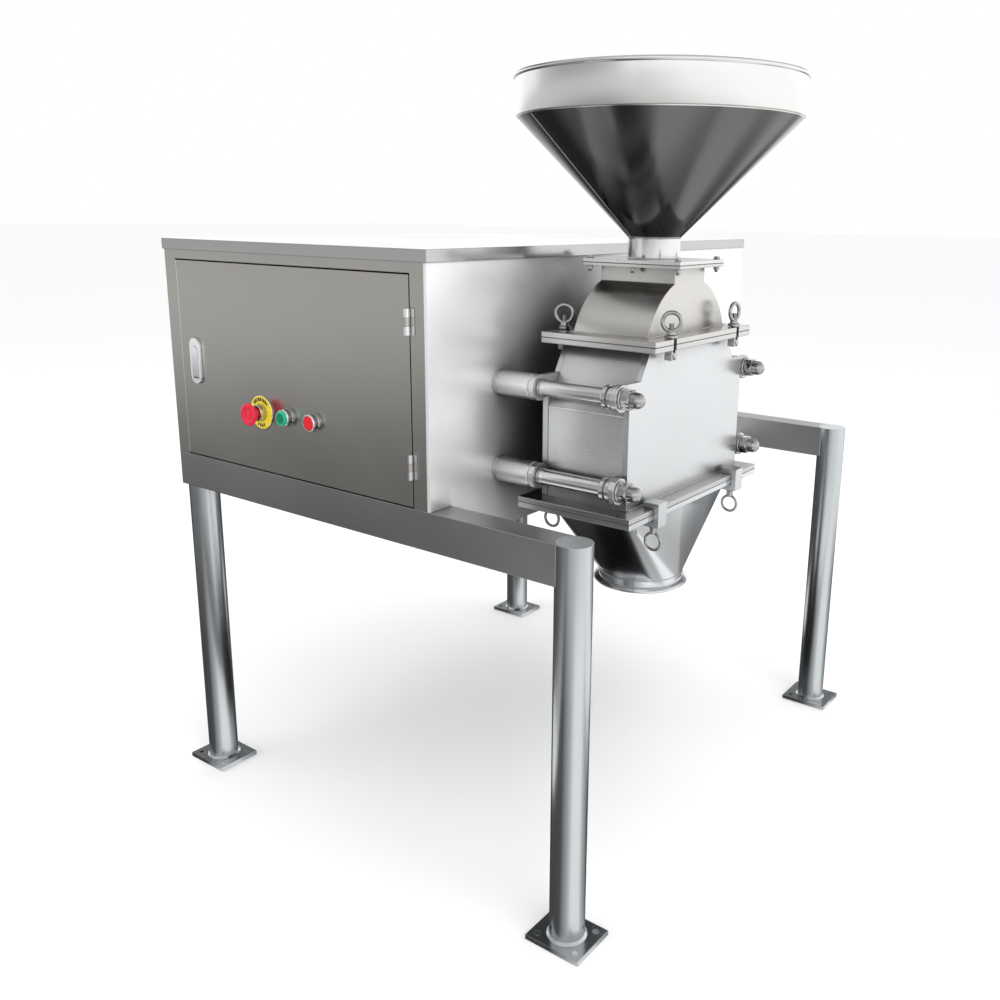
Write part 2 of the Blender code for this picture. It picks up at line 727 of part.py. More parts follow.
def plate_outline():
    """The end plates' outline in Y and Z, with an ear round each tie rod and sloping shoulders."""
    bottom, top = DISCHARGE_Z[2] + GAP, INLET_Z[0] - GAP
    lower, upper = ROD_HEIGHTS["lower"], ROD_HEIGHTS["upper"]
    reach = ROD_SPREAD - PLATE_HALF_WIDTH
    meet = math.degrees(math.acos(-reach / EAR_RADIUS))
    half = [(PLATE_HALF_WIDTH, bottom)]
    half += arc((ROD_SPREAD, lower), EAR_RADIUS, -meet, meet, 9)
    half += arc((ROD_SPREAD, upper), EAR_RADIUS, -meet, 112, 9)
    slope_foot_z = upper + EAR_RADIUS * 0.90
    slope = (SIDE_HALF_WIDTH - NECK_HALF_WIDTH) / (top - CREASE_Z)
    half += [(NECK_HALF_WIDTH + slope * (top - slope_foot_z), slope_foot_z), (NECK_HALF_WIDTH, top)]
    mirrored = [(-y, z) for y, z in reversed(half)]
    return [(MILL_Y + y, z) for y, z in half + mirrored]


def rod_centre(side, level, x=0.0):
    return x, MILL_Y + SIDES[side] * ROD_SPREAD, ROD_HEIGHTS[level]


def make_end_plates():
    for name, (low, high) in (("mill_back_plate", BACK_PLATE), ("mill_front_plate", FRONT_PLATE)):
        holes = [
            rod("X", -1, 1, STUD_RADIUS + GAP, rod_centre(side, level), segments=ROD_SIDES)
            for side, level in HEAD_CORNERS
        ]
        if name == "mill_back_plate":
            shaft_centre = (0, MILL_Y, SHAFT_Z)
            holes.append(rod("X", -1, 1, SHAFT_RADIUS + 0.001, shaft_centre, segments=28))
        part(name, sweep(plate_outline(), "X", low, high), "satin_stainless", cut=holes)


def side_sheet(sign):
    """One folded side of the casing in Y and Z: upright to the crease, then leaning in to the inlet."""
    bottom, top = DISCHARGE_Z[1] + 0.001, INLET_Z[0] + 0.001
    lean = math.atan2(SIDE_HALF_WIDTH - NECK_HALF_WIDTH, top - CREASE_Z)
    across = SIDE_SHEET / math.cos(lean)
    crease_inside = CREASE_Z - SIDE_SHEET * math.tan(lean / 2)
    outline = [
        (SIDE_HALF_WIDTH, bottom),
        (SIDE_HALF_WIDTH, CREASE_Z),
        (NECK_HALF_WIDTH, top),
        (NECK_HALF_WIDTH - across, top),
        (SIDE_HALF_WIDTH - SIDE_SHEET, crease_inside),
        (SIDE_HALF_WIDTH - SIDE_SHEET, bottom),
    ]
    return [(MILL_Y + sign * y, z) for y, z in outline]


def swing_centre(end, side):
    """Where a swing bolt pivots."""
    sign = FRONT_AND_REAR[end]
    edge = FLANGE_X[1] if sign > 0 else FLANGE_X[0]
    y = MILL_Y + SWING_SHIFT[end] + SIDES[side] * SWING_Y
    return edge - sign * SWING_INSET, y, SWING_PIVOT_Z


def swing_bolt_places():
    return [(end, side, *swing_centre(end, side)) for end in FRONT_AND_REAR for side in SIDES]


def swing_slots(z_low, z_high):
    """Cutters for the slots that the swing bolts stand in."""
    half = SWING_BOLT_RADIUS + 0.0008
    for end, _, x, y, _ in swing_bolt_places():
        sign = FRONT_AND_REAR[end]
        inner, outer = x - sign * half, x + sign * 0.05
        yield block(
            (min(inner, outer), y - half, z_low - 0.001),
            (max(inner, outer), y + half, z_high + 0.001),
        )


def make_casing():
    """The mill's sides welded to the inlet and discharge flanges, with the bolt lugs and screen ledges."""
    low, high = BACK_PLATE[1] + GAP, FRONT_PLATE[0] - GAP
    sides = [sweep(side_sheet(sign), "X", low, high) for sign in SIDES.values()]
    inlet = block(
        (FLANGE_X[0], MILL_Y - INLET_HALF_WIDTH, INLET_Z[0]),
        (FLANGE_X[1], MILL_Y + INLET_HALF_WIDTH, INLET_Z[1] - GAP),
    )
    discharge = block(
        (FLANGE_X[0], MILL_Y - DISCHARGE_HALF_WIDTH, DISCHARGE_Z[1]),
        (FLANGE_X[1], MILL_Y + DISCHARGE_HALF_WIDTH, DISCHARGE_Z[2]),
    )
    mouth = NECK_HALF_WIDTH - SIDE_SHEET - 0.002
    inlet_hole = block((low + 0.006, MILL_Y - mouth, 0.9), (high - 0.006, MILL_Y + mouth, 0.95))
    wide = SIDE_HALF_WIDTH - SIDE_SHEET
    discharge_hole = block((low + GAP, MILL_Y - wide, 0.6), (high - GAP, MILL_Y + wide, 0.66))
    ledges = []
    for sign in SIDES.values():
        inner, outer = MILL_Y + sign * (SCREEN_EDGE - 0.016), MILL_Y + sign * (wide + 0.002)
        ledges.append(block(
            (low, min(inner, outer), SHAFT_Z - 0.012),
            (high, max(inner, outer), SHAFT_Z - GAP),
        ))
    part(
        "mill_casing",
        sides[0],
        "brushed_stainless",
        add=[inlet, discharge, sides[1], *ledges, *swing_lugs()],
        cut=[inlet_hole, discharge_hole, *swing_slots(INLET_Z[0], INLET_Z[1])],
    )


def swing_lugs():
    """Two lugs and a pin under the inlet flange for each swing bolt."""
    half = SWING_EYE_WIDTH / 2 + 0.0005
    lug, reach = 0.0065, half + 0.0045
    for _, _, x, y, z in swing_bolt_places():
        for facing in (-1, 1):
            inner, outer = y + facing * half, y + facing * (half + 0.0035)
            yield block(
                (x - lug, min(inner, outer), z - lug),
                (x + lug, max(inner, outer), INLET_Z[0] + 0.001),
            )
        yield rod("Y", y - reach, y + reach, SWING_PIN_RADIUS, (x, 0, z), segments=10)


def make_tie_rods():
    """A stud through the stand-off, both plates and the cap nut, with the turned spacer that it carries."""
    start, end = BACK_PLATE[1] + GAP, FRONT_PLATE[0] - GAP
    shoulder = end - 0.0215
    stud_start, stud_end = -0.020, FRONT_PLATE[1] + 0.020
    ring = ROD_RADIUS + 0.0008
    profile = [
        (stud_start, 0),
        (stud_start, STUD_RADIUS),
        (start, STUD_RADIUS),
        (start, ring),
        (start + 0.0100, ring),
        (start + 0.0112, ROD_RADIUS),
        (shoulder, ROD_RADIUS),
        (shoulder + 0.0025, COLLAR_RADIUS),
        (end, COLLAR_RADIUS),
        (end, STUD_RADIUS),
        (stud_end, STUD_RADIUS),
        (stud_end, 0),
    ]
    for side, level in HEAD_CORNERS:
        centre = rod_centre(side, level)
        shape = turned(profile, "X", centre, ROD_SIDES)
        part(f"tie_rod_{level}_{side}", shape, "satin_stainless", origin=centre)


def make_cap_nuts():
    """A washer, a hexagon and a dome in one turned nut, with a blind bore for the stud."""
    face = FRONT_PLATE[1] + GAP
    washer, hex_end, tip = face + 0.0030, face + 0.0175, face + 0.0375
    dome_radius = 0.0125
    for side, level in HEAD_CORNERS:
        centre = rod_centre(side, level)
        _, y, z = centre
        corners = [(y + across, z + up) for across, up in hexagon(NUT_FLATS)]
        hexed = sweep(corners, "X", washer - 0.001, hex_end)
        dome_steps = 4
        dome = [(hex_end - 0.001, 0), (hex_end - 0.001, dome_radius)]
        for step in range(dome_steps + 1):
            angle = math.pi / 2 * step / dome_steps
            dome.append((tip - dome_radius + dome_radius * math.sin(angle), dome_radius * math.cos(angle)))
        dome[-1] = (tip, 0)
        flat = rod("X", face, washer, 0.0170, centre, segments=20)
        bore_end = FRONT_PLATE[1] + 0.0215
        bore = rod("X", 0, bore_end, STUD_RADIUS + GAP, centre, segments=ROD_SIDES)
        part(
            f"cap_nut_{level}_{side}",
            flat,
            "chrome",
            origin=centre,
            add=[hexed, turned(dome, "X", (0, y, z), 16)],
            cut=[bore],
        )


def chute_curve(half_width, shoulder_z, foot_z, throat, radius):
    """The shoulder of the chute in Y and Z: an arc from the throat out and down to the foot."""
    start, end = Vector((throat, shoulder_z)), Vector((half_width, foot_z))
    chord = end - start
    across = Vector((chord.y, -chord.x)).normalized()
    sagitta = math.sqrt(radius ** 2 - (chord.length / 2) ** 2)
    centre = (start + end) / 2 + across * sagitta
    first = math.degrees(math.atan2(start.y - centre.y, start.x - centre.x))
    last = math.degrees(math.atan2(end.y - centre.y, end.x - centre.x))
    return arc(centre, radius, first, last, 8)


def chute_outline(inset):
    foot, top = INLET_Z[1] + 0.002, FEED_Z[0] + 0.002
    curve = chute_curve(
        CHUTE_HALF_WIDTH - inset, CHUTE_SHOULDER_Z, foot, CHUTE_THROAT - inset, CHUTE_ARC_RADIUS,
    )
    half = [(CHUTE_THROAT - inset, top), *curve]
    if inset:
        half = [(CHUTE_THROAT - inset, top + 0.02), *curve, (CHUTE_HALF_WIDTH - inset, foot - 0.02)]
    mirrored = [(-y, z) for y, z in reversed(half)]
    return [(MILL_Y + y, z) for y, z in half + mirrored]


def make_chute():
    """The curved inlet box between its mill flange and its feed flange."""
    low, high = CHUTE_X
    foot = block(
        (FLANGE_X[0], MILL_Y - INLET_HALF_WIDTH, INLET_Z[1]),
        (FLANGE_X[1], MILL_Y + INLET_HALF_WIDTH, INLET_Z[2]),
    )
    feed = block(
        (FEED_X[0], MILL_Y - FEED_HALF_WIDTH, FEED_Z[0]),
        (FEED_X[1], MILL_Y + FEED_HALF_WIDTH, FEED_Z[1] - GAP),
    )
    hollow = sweep(chute_outline(CHUTE_SHEET), "X", low + CHUTE_SHEET, high - CHUTE_SHEET)
    part(
        "inlet_chute",
        sweep(chute_outline(0), "X", low, high),
        "brushed_stainless",
        add=[foot, feed],
        cut=[hollow, *swing_slots(INLET_Z[1], INLET_Z[2])],
    )


def make_hopper():
    """Flange, neck tube, cone, band and rolled rim, spun in one."""
    sheet = HOPPER_SHEET
    neck, band, rim = HOPPER_NECK_RADIUS, HOPPER_RADIUS, HOPPER_RIM_RADIUS
    seat = FEED_Z[1] + 0.002
    bead = 0.0035
    rim_z = HOPPER_TOP - bead
    profile = [
        (seat, neck),
        (HOPPER_CONE_BOTTOM, neck),
        (HOPPER_CONE_TOP, band - 0.0010),
        (HOPPER_CONE_TOP + 0.0015, band),
        (rim_z - bead, band),
        (rim_z - bead, rim - 0.0020),
        (rim_z - 0.0015, rim),
        (rim_z + 0.0015, rim),
        (HOPPER_TOP, rim - 0.0020),
        (HOPPER_TOP, band - sheet),
        (HOPPER_CONE_TOP, band - sheet),
        (HOPPER_CONE_BOTTOM + sheet / 2, neck - sheet),
        (seat, neck - sheet),
    ]
    flange = block(
        (FEED_X[0], MILL_Y - FEED_HALF_WIDTH, FEED_Z[1]),
        (FEED_X[1], MILL_Y + FEED_HALF_WIDTH, FEED_Z[2]),
    )
    hole = rod("Z", 1, 1.06, neck - sheet, (HOPPER_X, MILL_Y, 0), segments=40)
    shape = turned(profile, "Z", (HOPPER_X, MILL_Y, 0), 40)
    top = (HOPPER_X, MILL_Y, HOPPER_TOP)
    part("hopper", shape, "polished_stainless", origin=top, add=[flange], cut=[hole])


def square_to_round(inset, top, bottom, segments=36):
    """A solid whose top is the discharge opening's rectangle and whose bottom is the neck's circle."""
    shape = bmesh.new()
    half_x = (CHUTE_X[1] - CHUTE_X[0]) / 2 + 0.004 - inset
    half_y = SIDE_HALF_WIDTH - 0.003 - inset
    fillet = 0.012
    middle = Vector((sum(CHUTE_X) / 2, MILL_Y, top))
    radius = OUTLET_NECK_RADIUS - inset
    upper, lower = [], []
    for step in range(segments):
        turn = Vector((math.cos(math.tau * step / segments), math.sin(math.tau * step / segments), 0))
        lower.append(shape.verts.new(Vector((OUTLET_X, MILL_Y, bottom)) + radius * turn))
        if step % (segments // 4) == 0:
            edge = Vector((round(turn.x) * half_x, round(turn.y) * half_y, 0))
        else:
            corner_x = math.copysign(half_x - fillet, turn.x)
            corner_y = math.copysign(half_y - fillet, turn.y)
            edge = Vector((corner_x, corner_y, 0)) + fillet * turn
        upper.append(shape.verts.new(middle + edge))
    shape.faces.new(upper)
    shape.faces.new(lower)
    for step in range(segments):
        following = (step + 1) % segments
        shape.faces.new((upper[step], upper[following], lower[following]))
        shape.faces.new((upper[step], lower[following], lower[step]))
    bmesh.ops.recalc_face_normals(shape, faces=shape.faces)
    return shape


def make_outlet():
    """The square-to-round discharge cone under its flange, with its neck and clamp ferrule."""
    sheet = 0.0025
    inner = OUTLET_NECK_RADIUS - sheet
    flange = block(
        (FLANGE_X[0], MILL_Y - DISCHARGE_HALF_WIDTH, DISCHARGE_Z[0]),
        (FLANGE_X[1], MILL_Y + DISCHARGE_HALF_WIDTH, DISCHARGE_Z[1] - GAP),
    )
    lip = OUTLET_BOTTOM + FERRULE_LIP
    ferrule = [
        (OUTLET_NECK_TOP + 0.001, inner),
        (OUTLET_NECK_TOP + 0.001, OUTLET_NECK_RADIUS),
        (lip + 0.003, OUTLET_NECK_RADIUS),
        (lip, FERRULE_RADIUS - 0.001),
        (lip - 0.001, FERRULE_RADIUS),
        (OUTLET_BOTTOM + 0.001, FERRULE_RADIUS),
        (OUTLET_BOTTOM, FERRULE_RADIUS - 0.001),
        (OUTLET_BOTTOM, inner),
    ]
    centre = (OUTLET_X, MILL_Y, 0)
    bore = rod("Z", OUTLET_BOTTOM - 0.02, OUTLET_NECK_TOP + 0.002, inner, centre, segments=36)
    part(
        "outlet_cone",
        square_to_round(0, DISCHARGE_Z[0] + 0.002, OUTLET_NECK_TOP),
        "brushed_stainless",
        add=[flange, turned(ferrule, "Z", (OUTLET_X, MILL_Y, 0), 36)],
        cut=[square_to_round(sheet, DISCHARGE_Z[1] + 0.02, OUTLET_NECK_TOP - 0.0001), bore],
    )


def make_swing_bolts():
    """An eye on a pin below, a shank through the slots, and an eye nut that grips the upper flange."""
    ring_foot = SWING_RING_Z - SWING_RING[0]
    seat = INLET_Z[2] + 0.0012
    base_top = seat + 0.0045
    nut_profile = [
        (seat, 0),
        (seat, EYE_NUT_BASE),
        (base_top, EYE_NUT_BASE),
        (base_top + 0.0010, EYE_NUT_NECK),
        (ring_foot + 0.0020, EYE_NUT_NECK),
        (ring_foot + 0.0020, 0),
    ]
    half = SWING_EYE_WIDTH / 2
    for end, side, x, y, z in swing_bolt_places():
        centre = (x, y, z)
        turn = Matrix.Rotation(math.radians(SWING_RING_TURNS[f"{end}_{side}"]), 4, "Z")
        ring = moved(torus("Y", (0, 0, 0), *SWING_RING), turn)
        moved(ring, Matrix.Translation((x, y, SWING_RING_Z)))
        shank = rod("Z", z + 0.004, ring_foot + 0.012, SWING_BOLT_RADIUS, centre, segments=8)
        part(
            f"swing_bolt_{end}_{side}",
            rod("Y", y - half, y + half, SWING_EYE_RADIUS, centre, segments=14),
            "satin_stainless",
            origin=centre,
            add=[shank, turned(nut_profile, "Z", (x, y, 0), 14), ring],
            cut=[rod("Y", y - 0.02, y + 0.02, SWING_PIN_RADIUS + GAP, centre, segments=10)],
        )


def make_clamps():
    """C-blocks hooked over the discharge joint, each with an eye screw from below."""
    ring_top = CLAMP_RING_Z + CLAMP_RING[0] - 0.0012
    under, tip = CLAMP_Z[0] - GAP, DISCHARGE_Z[0] - GAP
    screw_profile = [
        (ring_top, 0),
        (ring_top, 0.0058),
        (under - 0.0030, 0.0072),
        (under, 0.0072),
        (under, CLAMP_SCREW_RADIUS),
        (tip, CLAMP_SCREW_RADIUS),
        (tip, 0),
    ]
    for end, sign in FRONT_AND_REAR.items():
        web = (FLANGE_X[1] if sign > 0 else FLANGE_X[0]) + sign * GAP
        outer = web + sign * CLAMP_WEB
        reach = outer - sign * CLAMP_DEPTH
        screw_x = reach + sign * 0.0115
        outline = [
            (outer, CLAMP_Z[0]),
            (outer, CLAMP_Z[1]),
            (reach, CLAMP_Z[1]),
            (reach, CLAMP_ARMS[1]),
            (web, CLAMP_ARMS[1]),
            (web, CLAMP_ARMS[0]),
            (reach, CLAMP_ARMS[0]),
            (reach, CLAMP_Z[0]),
        ]
        for side, facing in SIDES.items():
            y = MILL_Y + facing * CLAMP_Y
            bore = rod("Z", 0.6, 0.65, CLAMP_SCREW_RADIUS + GAP, (screw_x, y, 0), segments=14)
            shape = sweep(outline, "Y", y - CLAMP_WIDTH / 2, y + CLAMP_WIDTH / 2)
            part(f"clamp_{end}_{side}", shape, "satin_stainless", cut=[bore])
            part(
                f"clamp_screw_{end}_{side}",
                turned(screw_profile, "Z", (screw_x, y, 0), 12),
                "chrome",
                origin=(screw_x, y, CLAMP_RING_Z),
                add=[torus("Y", (screw_x, y, CLAMP_RING_Z), *CLAMP_RING)],
            )


# ---------------------------------------------------------------- drive and rotor

def grooved_pulley(radius, bore, centre):
    """A pulley with one V groove. Its pitch radius is where the belt's middle runs."""
    half = PULLEY_WIDTH / 2
    outer = radius + BELT_DEPTH / 2 + 0.001
    inner = radius - BELT_DEPTH / 2 - BELT_CLEARANCE
    groove = BELT_WIDTH / 2 + 2 * GAP
    profile = [
        (-half, bore),
        (-half, outer),
        (-groove, outer),
        (-groove, inner),
        (groove, inner),
        (groove, outer),
        (half, outer),
        (half, bore),
    ]
    return turned(profile, "X", centre, 28)


def make_spindle():
    """The bearing housing bolted inside the head wall, and the shaft that runs through it."""
    start = -HEAD_WALL - GAP
    far = start - SPINDLE_LENGTH
    bore = SHAFT_RADIUS + 0.0005
    cap_radius = SPINDLE_RADIUS + 0.006
    housing = [
        (start, bore),
        (start, SPINDLE_FLANGE_RADIUS),
        (start - 0.012, SPINDLE_FLANGE_RADIUS),
        (start - 0.012, SPINDLE_RADIUS),
        (far + 0.020, SPINDLE_RADIUS),
        (far + 0.020, cap_radius),
        (far, cap_radius),
        (far, bore),
    ]
    centre = (0, MILL_Y, SHAFT_Z)
    part("spindle_housing", turned(housing, "X", centre, 28), "cast_iron", origin=centre)

    journal = SHAFT_RADIUS - 0.004
    pulley_start, pulley_end = PULLEY_X - PULLEY_WIDTH / 2, PULLEY_X + PULLEY_WIDTH / 2
    rotor_end = ROTOR_DISCS[1] + 2 * ROTOR_DISC_WIDTH
    shaft = [
        (pulley_start - 0.006, 0),
        (pulley_start - 0.006, journal),
        (pulley_end, journal),
        (pulley_end, SHAFT_RADIUS),
        (rotor_end, SHAFT_RADIUS),
        (rotor_end, 0),
    ]
    pulley = grooved_pulley(SPINDLE_PULLEY_RADIUS, journal - 0.005, (PULLEY_X, MILL_Y, SHAFT_Z))
    part("main_shaft", turned(shaft, "X", centre, 20), "hard_steel", origin=centre, add=[pulley])


def pin_angles():
    return [math.pi / 4 + math.pi / 2 * number for number in range(4)]


def pin_centre(angle):
    return MILL_Y + PIN_CIRCLE * math.cos(angle), SHAFT_Z + PIN_CIRCLE * math.sin(angle)


def make_rotor():
    """A hub with two discs, joined by the four pins that the hammers swing on."""
    first, last = ROTOR_DISCS
    bore = SHAFT_RADIUS + GAP
    profile = [
        (first, bore),
        (first, ROTOR_RADIUS),
        (first + ROTOR_DISC_WIDTH, ROTOR_RADIUS),
        (first + ROTOR_DISC_WIDTH, HUB_RADIUS),
        (last, HUB_RADIUS),
        (last, ROTOR_RADIUS),
        (last + ROTOR_DISC_WIDTH, ROTOR_RADIUS),
        (last + ROTOR_DISC_WIDTH, bore),
    ]
    centre = (0, MILL_Y, SHAFT_Z)
    pin_start, pin_end = first + 0.001, last + ROTOR_DISC_WIDTH - 0.001
    pins = [
        rod("X", pin_start, pin_end, PIN_RADIUS, (0, *pin_centre(angle)), segments=14)
        for angle in pin_angles()
    ]
    part("rotor", turned(profile, "X", centre, 24), "hard_steel", origin=centre, add=pins)


def make_hammers():
    """A bush on each pin with hard blades that point away from the shaft at rest. The blades of one pin
    swing between those of the next."""
    low, high = ROTOR_DISCS[0] + ROTOR_DISC_WIDTH + 0.001, ROTOR_DISCS[1] - 0.001
    pitch = (high - low - HAMMER_BLADE) / (HAMMER_BLADES - 1)
    heel = 0.012
    for number, angle in enumerate(pin_angles()):
        y, z = pin_centre(angle)
        outward = Matrix.Translation((0, y, z)) @ Matrix.Rotation(angle, 4, "X")
        staggered = number % 2
        blades = []
        for index in range(HAMMER_BLADES - staggered):
            start = low + pitch * (index + staggered / 2)
            blade = block(
                (start, -heel, -HAMMER_WIDTH / 2),
                (start + HAMMER_BLADE, HAMMER_REACH, HAMMER_WIDTH / 2),
            )
            blades.append(moved(blade, outward))
        bush = rod("X", low, high, PIN_RADIUS + 0.0055, (0, y, z), segments=16)
        bore = rod("X", 0, 0.5, PIN_RADIUS + GAP, (0, y, z), segments=14)
        middle = ((low + high) / 2, y, z)
        part(f"hammer_{number + 1}", bush, "hard_steel", origin=middle, add=blades, cut=[bore])


def make_screen():
    """A half-round sieve under the rotor, whose flat edges rest on the casing's ledges."""
    low, high = BACK_PLATE[1] + 0.002, FRONT_PLATE[0] - 0.002
    inner, outer = SCREEN_RADIUS, SCREEN_RADIUS + SCREEN_SHEET
    top = SHAFT_Z + SCREEN_SHEET
    centre = (MILL_Y, SHAFT_Z)
    outline = [(MILL_Y - SCREEN_EDGE, top), (MILL_Y - SCREEN_EDGE, SHAFT_Z)]
    outline += arc(centre, outer, 180, 360, 24)
    outline += [(MILL_Y + SCREEN_EDGE, SHAFT_Z), (MILL_Y + SCREEN_EDGE, top), (MILL_Y + inner, top)]
    outline += arc(centre, inner, 360, 180, 24)
    outline += [(MILL_Y - inner, top)]
    holes = []
    for row in range(SCREEN_ROWS):
        turn = Matrix.Rotation(math.radians(210 + 120 * row / (SCREEN_ROWS - 1)), 4, "X")
        for column in range(SCREEN_COLUMNS):
            x = low + (high - low) * (column + 1) / (SCREEN_COLUMNS + 1)
            start, end = SCREEN_RADIUS - 0.01, SCREEN_RADIUS + 0.01
            hole = rod("Y", start, end, SCREEN_HOLE_RADIUS, (0, 0, 0), segments=6)
            holes.append(moved(hole, Matrix.Translation((x, MILL_Y, SHAFT_Z)) @ turn))
    part("screen", sweep(outline, "X", low, high), "hard_steel", cut=holes)


def make_motor():
    """A finned motor with its feet, terminal box and fan cover. Its shaft turns with the motor pulley."""
    low, high = MOTOR_BODY
    centre = (0, MOTOR_Y, MOTOR_Z)
    radius = MOTOR_RADIUS
    bore = MOTOR_SHAFT_RADIUS + 0.004
    fan_cover_end, bore_start = low + 0.055, low + 0.060
    body = [
        (low, 0),
        (low, radius * 0.86),
        (low + 0.010, radius * 0.98),
        (fan_cover_end, radius * 0.98),
        (fan_cover_end, radius * 0.9),
        (high - 0.020, radius * 0.9),
        (high - 0.020, radius),
        (high, radius * 0.92),
        (high, bore),
        (bore_start, bore),
        (bore_start, 0),
    ]
    fins = []
    for number in range(MOTOR_FINS):
        angle = math.tau * (number + 0.5) / MOTOR_FINS
        fin = block(
            (fan_cover_end + 0.001, radius * 0.8, -0.0015),
            (high - 0.021, radius * 1.06, 0.0015),
        )
        fins.append(moved(fin, Matrix.Translation(centre) @ Matrix.Rotation(angle, 4, "X")))
    shelf = SHELF_TOP + GAP
    feet_start, feet_end = low + 0.075, high - 0.050
    stand = []
    for side in (-1, 1):
        foot_y, web_y = MOTOR_Y + side * 0.075, MOTOR_Y + side * 0.062
        stand.append(block((feet_start, foot_y - 0.022, shelf), (feet_end, foot_y + 0.022, shelf + 0.012)))
        stand.append(block((feet_start, web_y - 0.006, shelf + 0.006), (feet_end, web_y + 0.006, MOTOR_Z)))
    terminal_box = block(
        (low + 0.090, MOTOR_Y - 0.045, MOTOR_Z),
        (high - 0.070, MOTOR_Y + 0.045, MOTOR_Z + radius + 0.035),
    )
    heart = rod("X", low + 0.058, high - 0.002, bore, centre, segments=16)
    part(
        "motor",
        turned(body, "X", centre, 28),
        "motor_paint",
        origin=centre,
        add=[*fins, *stand, terminal_box],
        cut=[heart],
    )
    shaft_start, shaft_end = low + 0.065, PULLEY_X + PULLEY_WIDTH / 2 + 0.004
    shaft = rod("X", shaft_start, shaft_end, MOTOR_SHAFT_RADIUS, centre, segments=16)
    pulley = grooved_pulley(MOTOR_PULLEY_RADIUS, MOTOR_SHAFT_RADIUS - 0.004, (PULLEY_X, MOTOR_Y, MOTOR_Z))
    part("motor_pulley", shaft, "hard_steel", origin=centre, add=[pulley])


def belt_outline(offset, steps=16):
    """The belt's loop in Y and Z, at a distance outside both pulleys' pitch circles."""
    small = Vector((MILL_Y, SHAFT_Z))
    large = Vector((MOTOR_Y, MOTOR_Z))
    reach = large - small
    tilt = math.degrees(math.atan2(reach.y, reach.x))
    wrap = math.degrees(math.acos((SPINDLE_PULLEY_RADIUS - MOTOR_PULLEY_RADIUS) / reach.length))
    round_small = arc(small, SPINDLE_PULLEY_RADIUS + offset, tilt + wrap, tilt + 360 - wrap, steps)
    round_large = arc(large, MOTOR_PULLEY_RADIUS + offset, tilt - wrap, tilt + wrap, steps)
    return round_small + round_large


def make_belt():
    half = BELT_WIDTH / 2
    outer = sweep(belt_outline(BELT_DEPTH / 2), "X", PULLEY_X - half, PULLEY_X + half)
    inner = sweep(belt_outline(-BELT_DEPTH / 2), "X", PULLEY_X - 2 * half, PULLEY_X + 2 * half)
    part("drive_belt", outer, "rubber", cut=[inner])


clear_scene()
finishes = make_finishes()
machine = bpy.data.objects.new("machine", None)
bpy.context.collection.objects.link(machine)
least_x = TAIL_LEG_X - FOOT_PLATE[0] / 2
most_x = HOPPER_X + HOPPER_RIM_RADIUS
least_y = DOOR_SIDE - ESTOP_PROUD
most_y = BEAM_MIDDLE + FOOT_PLATE[1] / 2
machine.location = (-(least_x + most_x) / 2, -(least_y + most_y) / 2, 0)

make_legs()
make_side_beams()
make_motor_shelf()
make_walls()
make_head_wall()
make_lid()
make_hinges()
make_door()
make_latch()
make_estop()
make_buttons()
make_end_plates()
make_casing()
make_tie_rods()
make_cap_nuts()
make_chute()
make_hopper()
make_outlet()
make_swing_bolts()
make_clamps()
make_spindle()
make_rotor()
make_hammers()
make_screen()
make_motor()
make_belt()
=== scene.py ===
"""The looks of the hammer mill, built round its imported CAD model.

The CAD nodes stay and get detailed materials. Round pieces that show up close (hopper, rods, nuts,
eye nuts, buttons) are replaced by finer ones of the same size, and small trim is added: welds,
gaskets, flange bolts, threads and the legend disc. Shapes are laid out as the CAD is: x = 0 is the
head wall's outer face, y = 0 the cabinet's middle and z = 0 the floor. LAYOUT shifts that to the
model's own frame. Sizes are in metres.
"""

import math

import bmesh
import bpy
from mathutils import Matrix, Vector


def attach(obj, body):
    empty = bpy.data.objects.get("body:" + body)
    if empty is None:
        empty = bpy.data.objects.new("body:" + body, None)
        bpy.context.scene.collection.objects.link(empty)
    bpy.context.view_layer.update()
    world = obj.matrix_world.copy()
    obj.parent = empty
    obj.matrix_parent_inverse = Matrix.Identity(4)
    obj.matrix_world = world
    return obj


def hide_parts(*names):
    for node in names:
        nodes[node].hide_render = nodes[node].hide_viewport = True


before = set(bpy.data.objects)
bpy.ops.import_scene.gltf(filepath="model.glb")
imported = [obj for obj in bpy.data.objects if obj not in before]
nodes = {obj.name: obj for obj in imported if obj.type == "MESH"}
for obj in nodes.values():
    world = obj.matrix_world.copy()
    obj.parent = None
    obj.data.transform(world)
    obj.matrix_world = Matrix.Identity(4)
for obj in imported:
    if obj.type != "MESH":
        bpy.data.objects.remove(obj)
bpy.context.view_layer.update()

LAYOUT = Vector((0.14215, 0.00725, 0))
GAP = 0.0003

# Camera, in the model's frame
CAMERA_PLACE = (1.14685, -1.58795, 1.1119)
CAMERA_AZIMUTH = 0.6292  # radians, from +Y towards -X
CAMERA_DROP = 0.2449
CAMERA_ROLL = 0.0129
CAMERA_LENS = 35.434
CAMERA_SHIFT = (-0.0493, -0.0422)

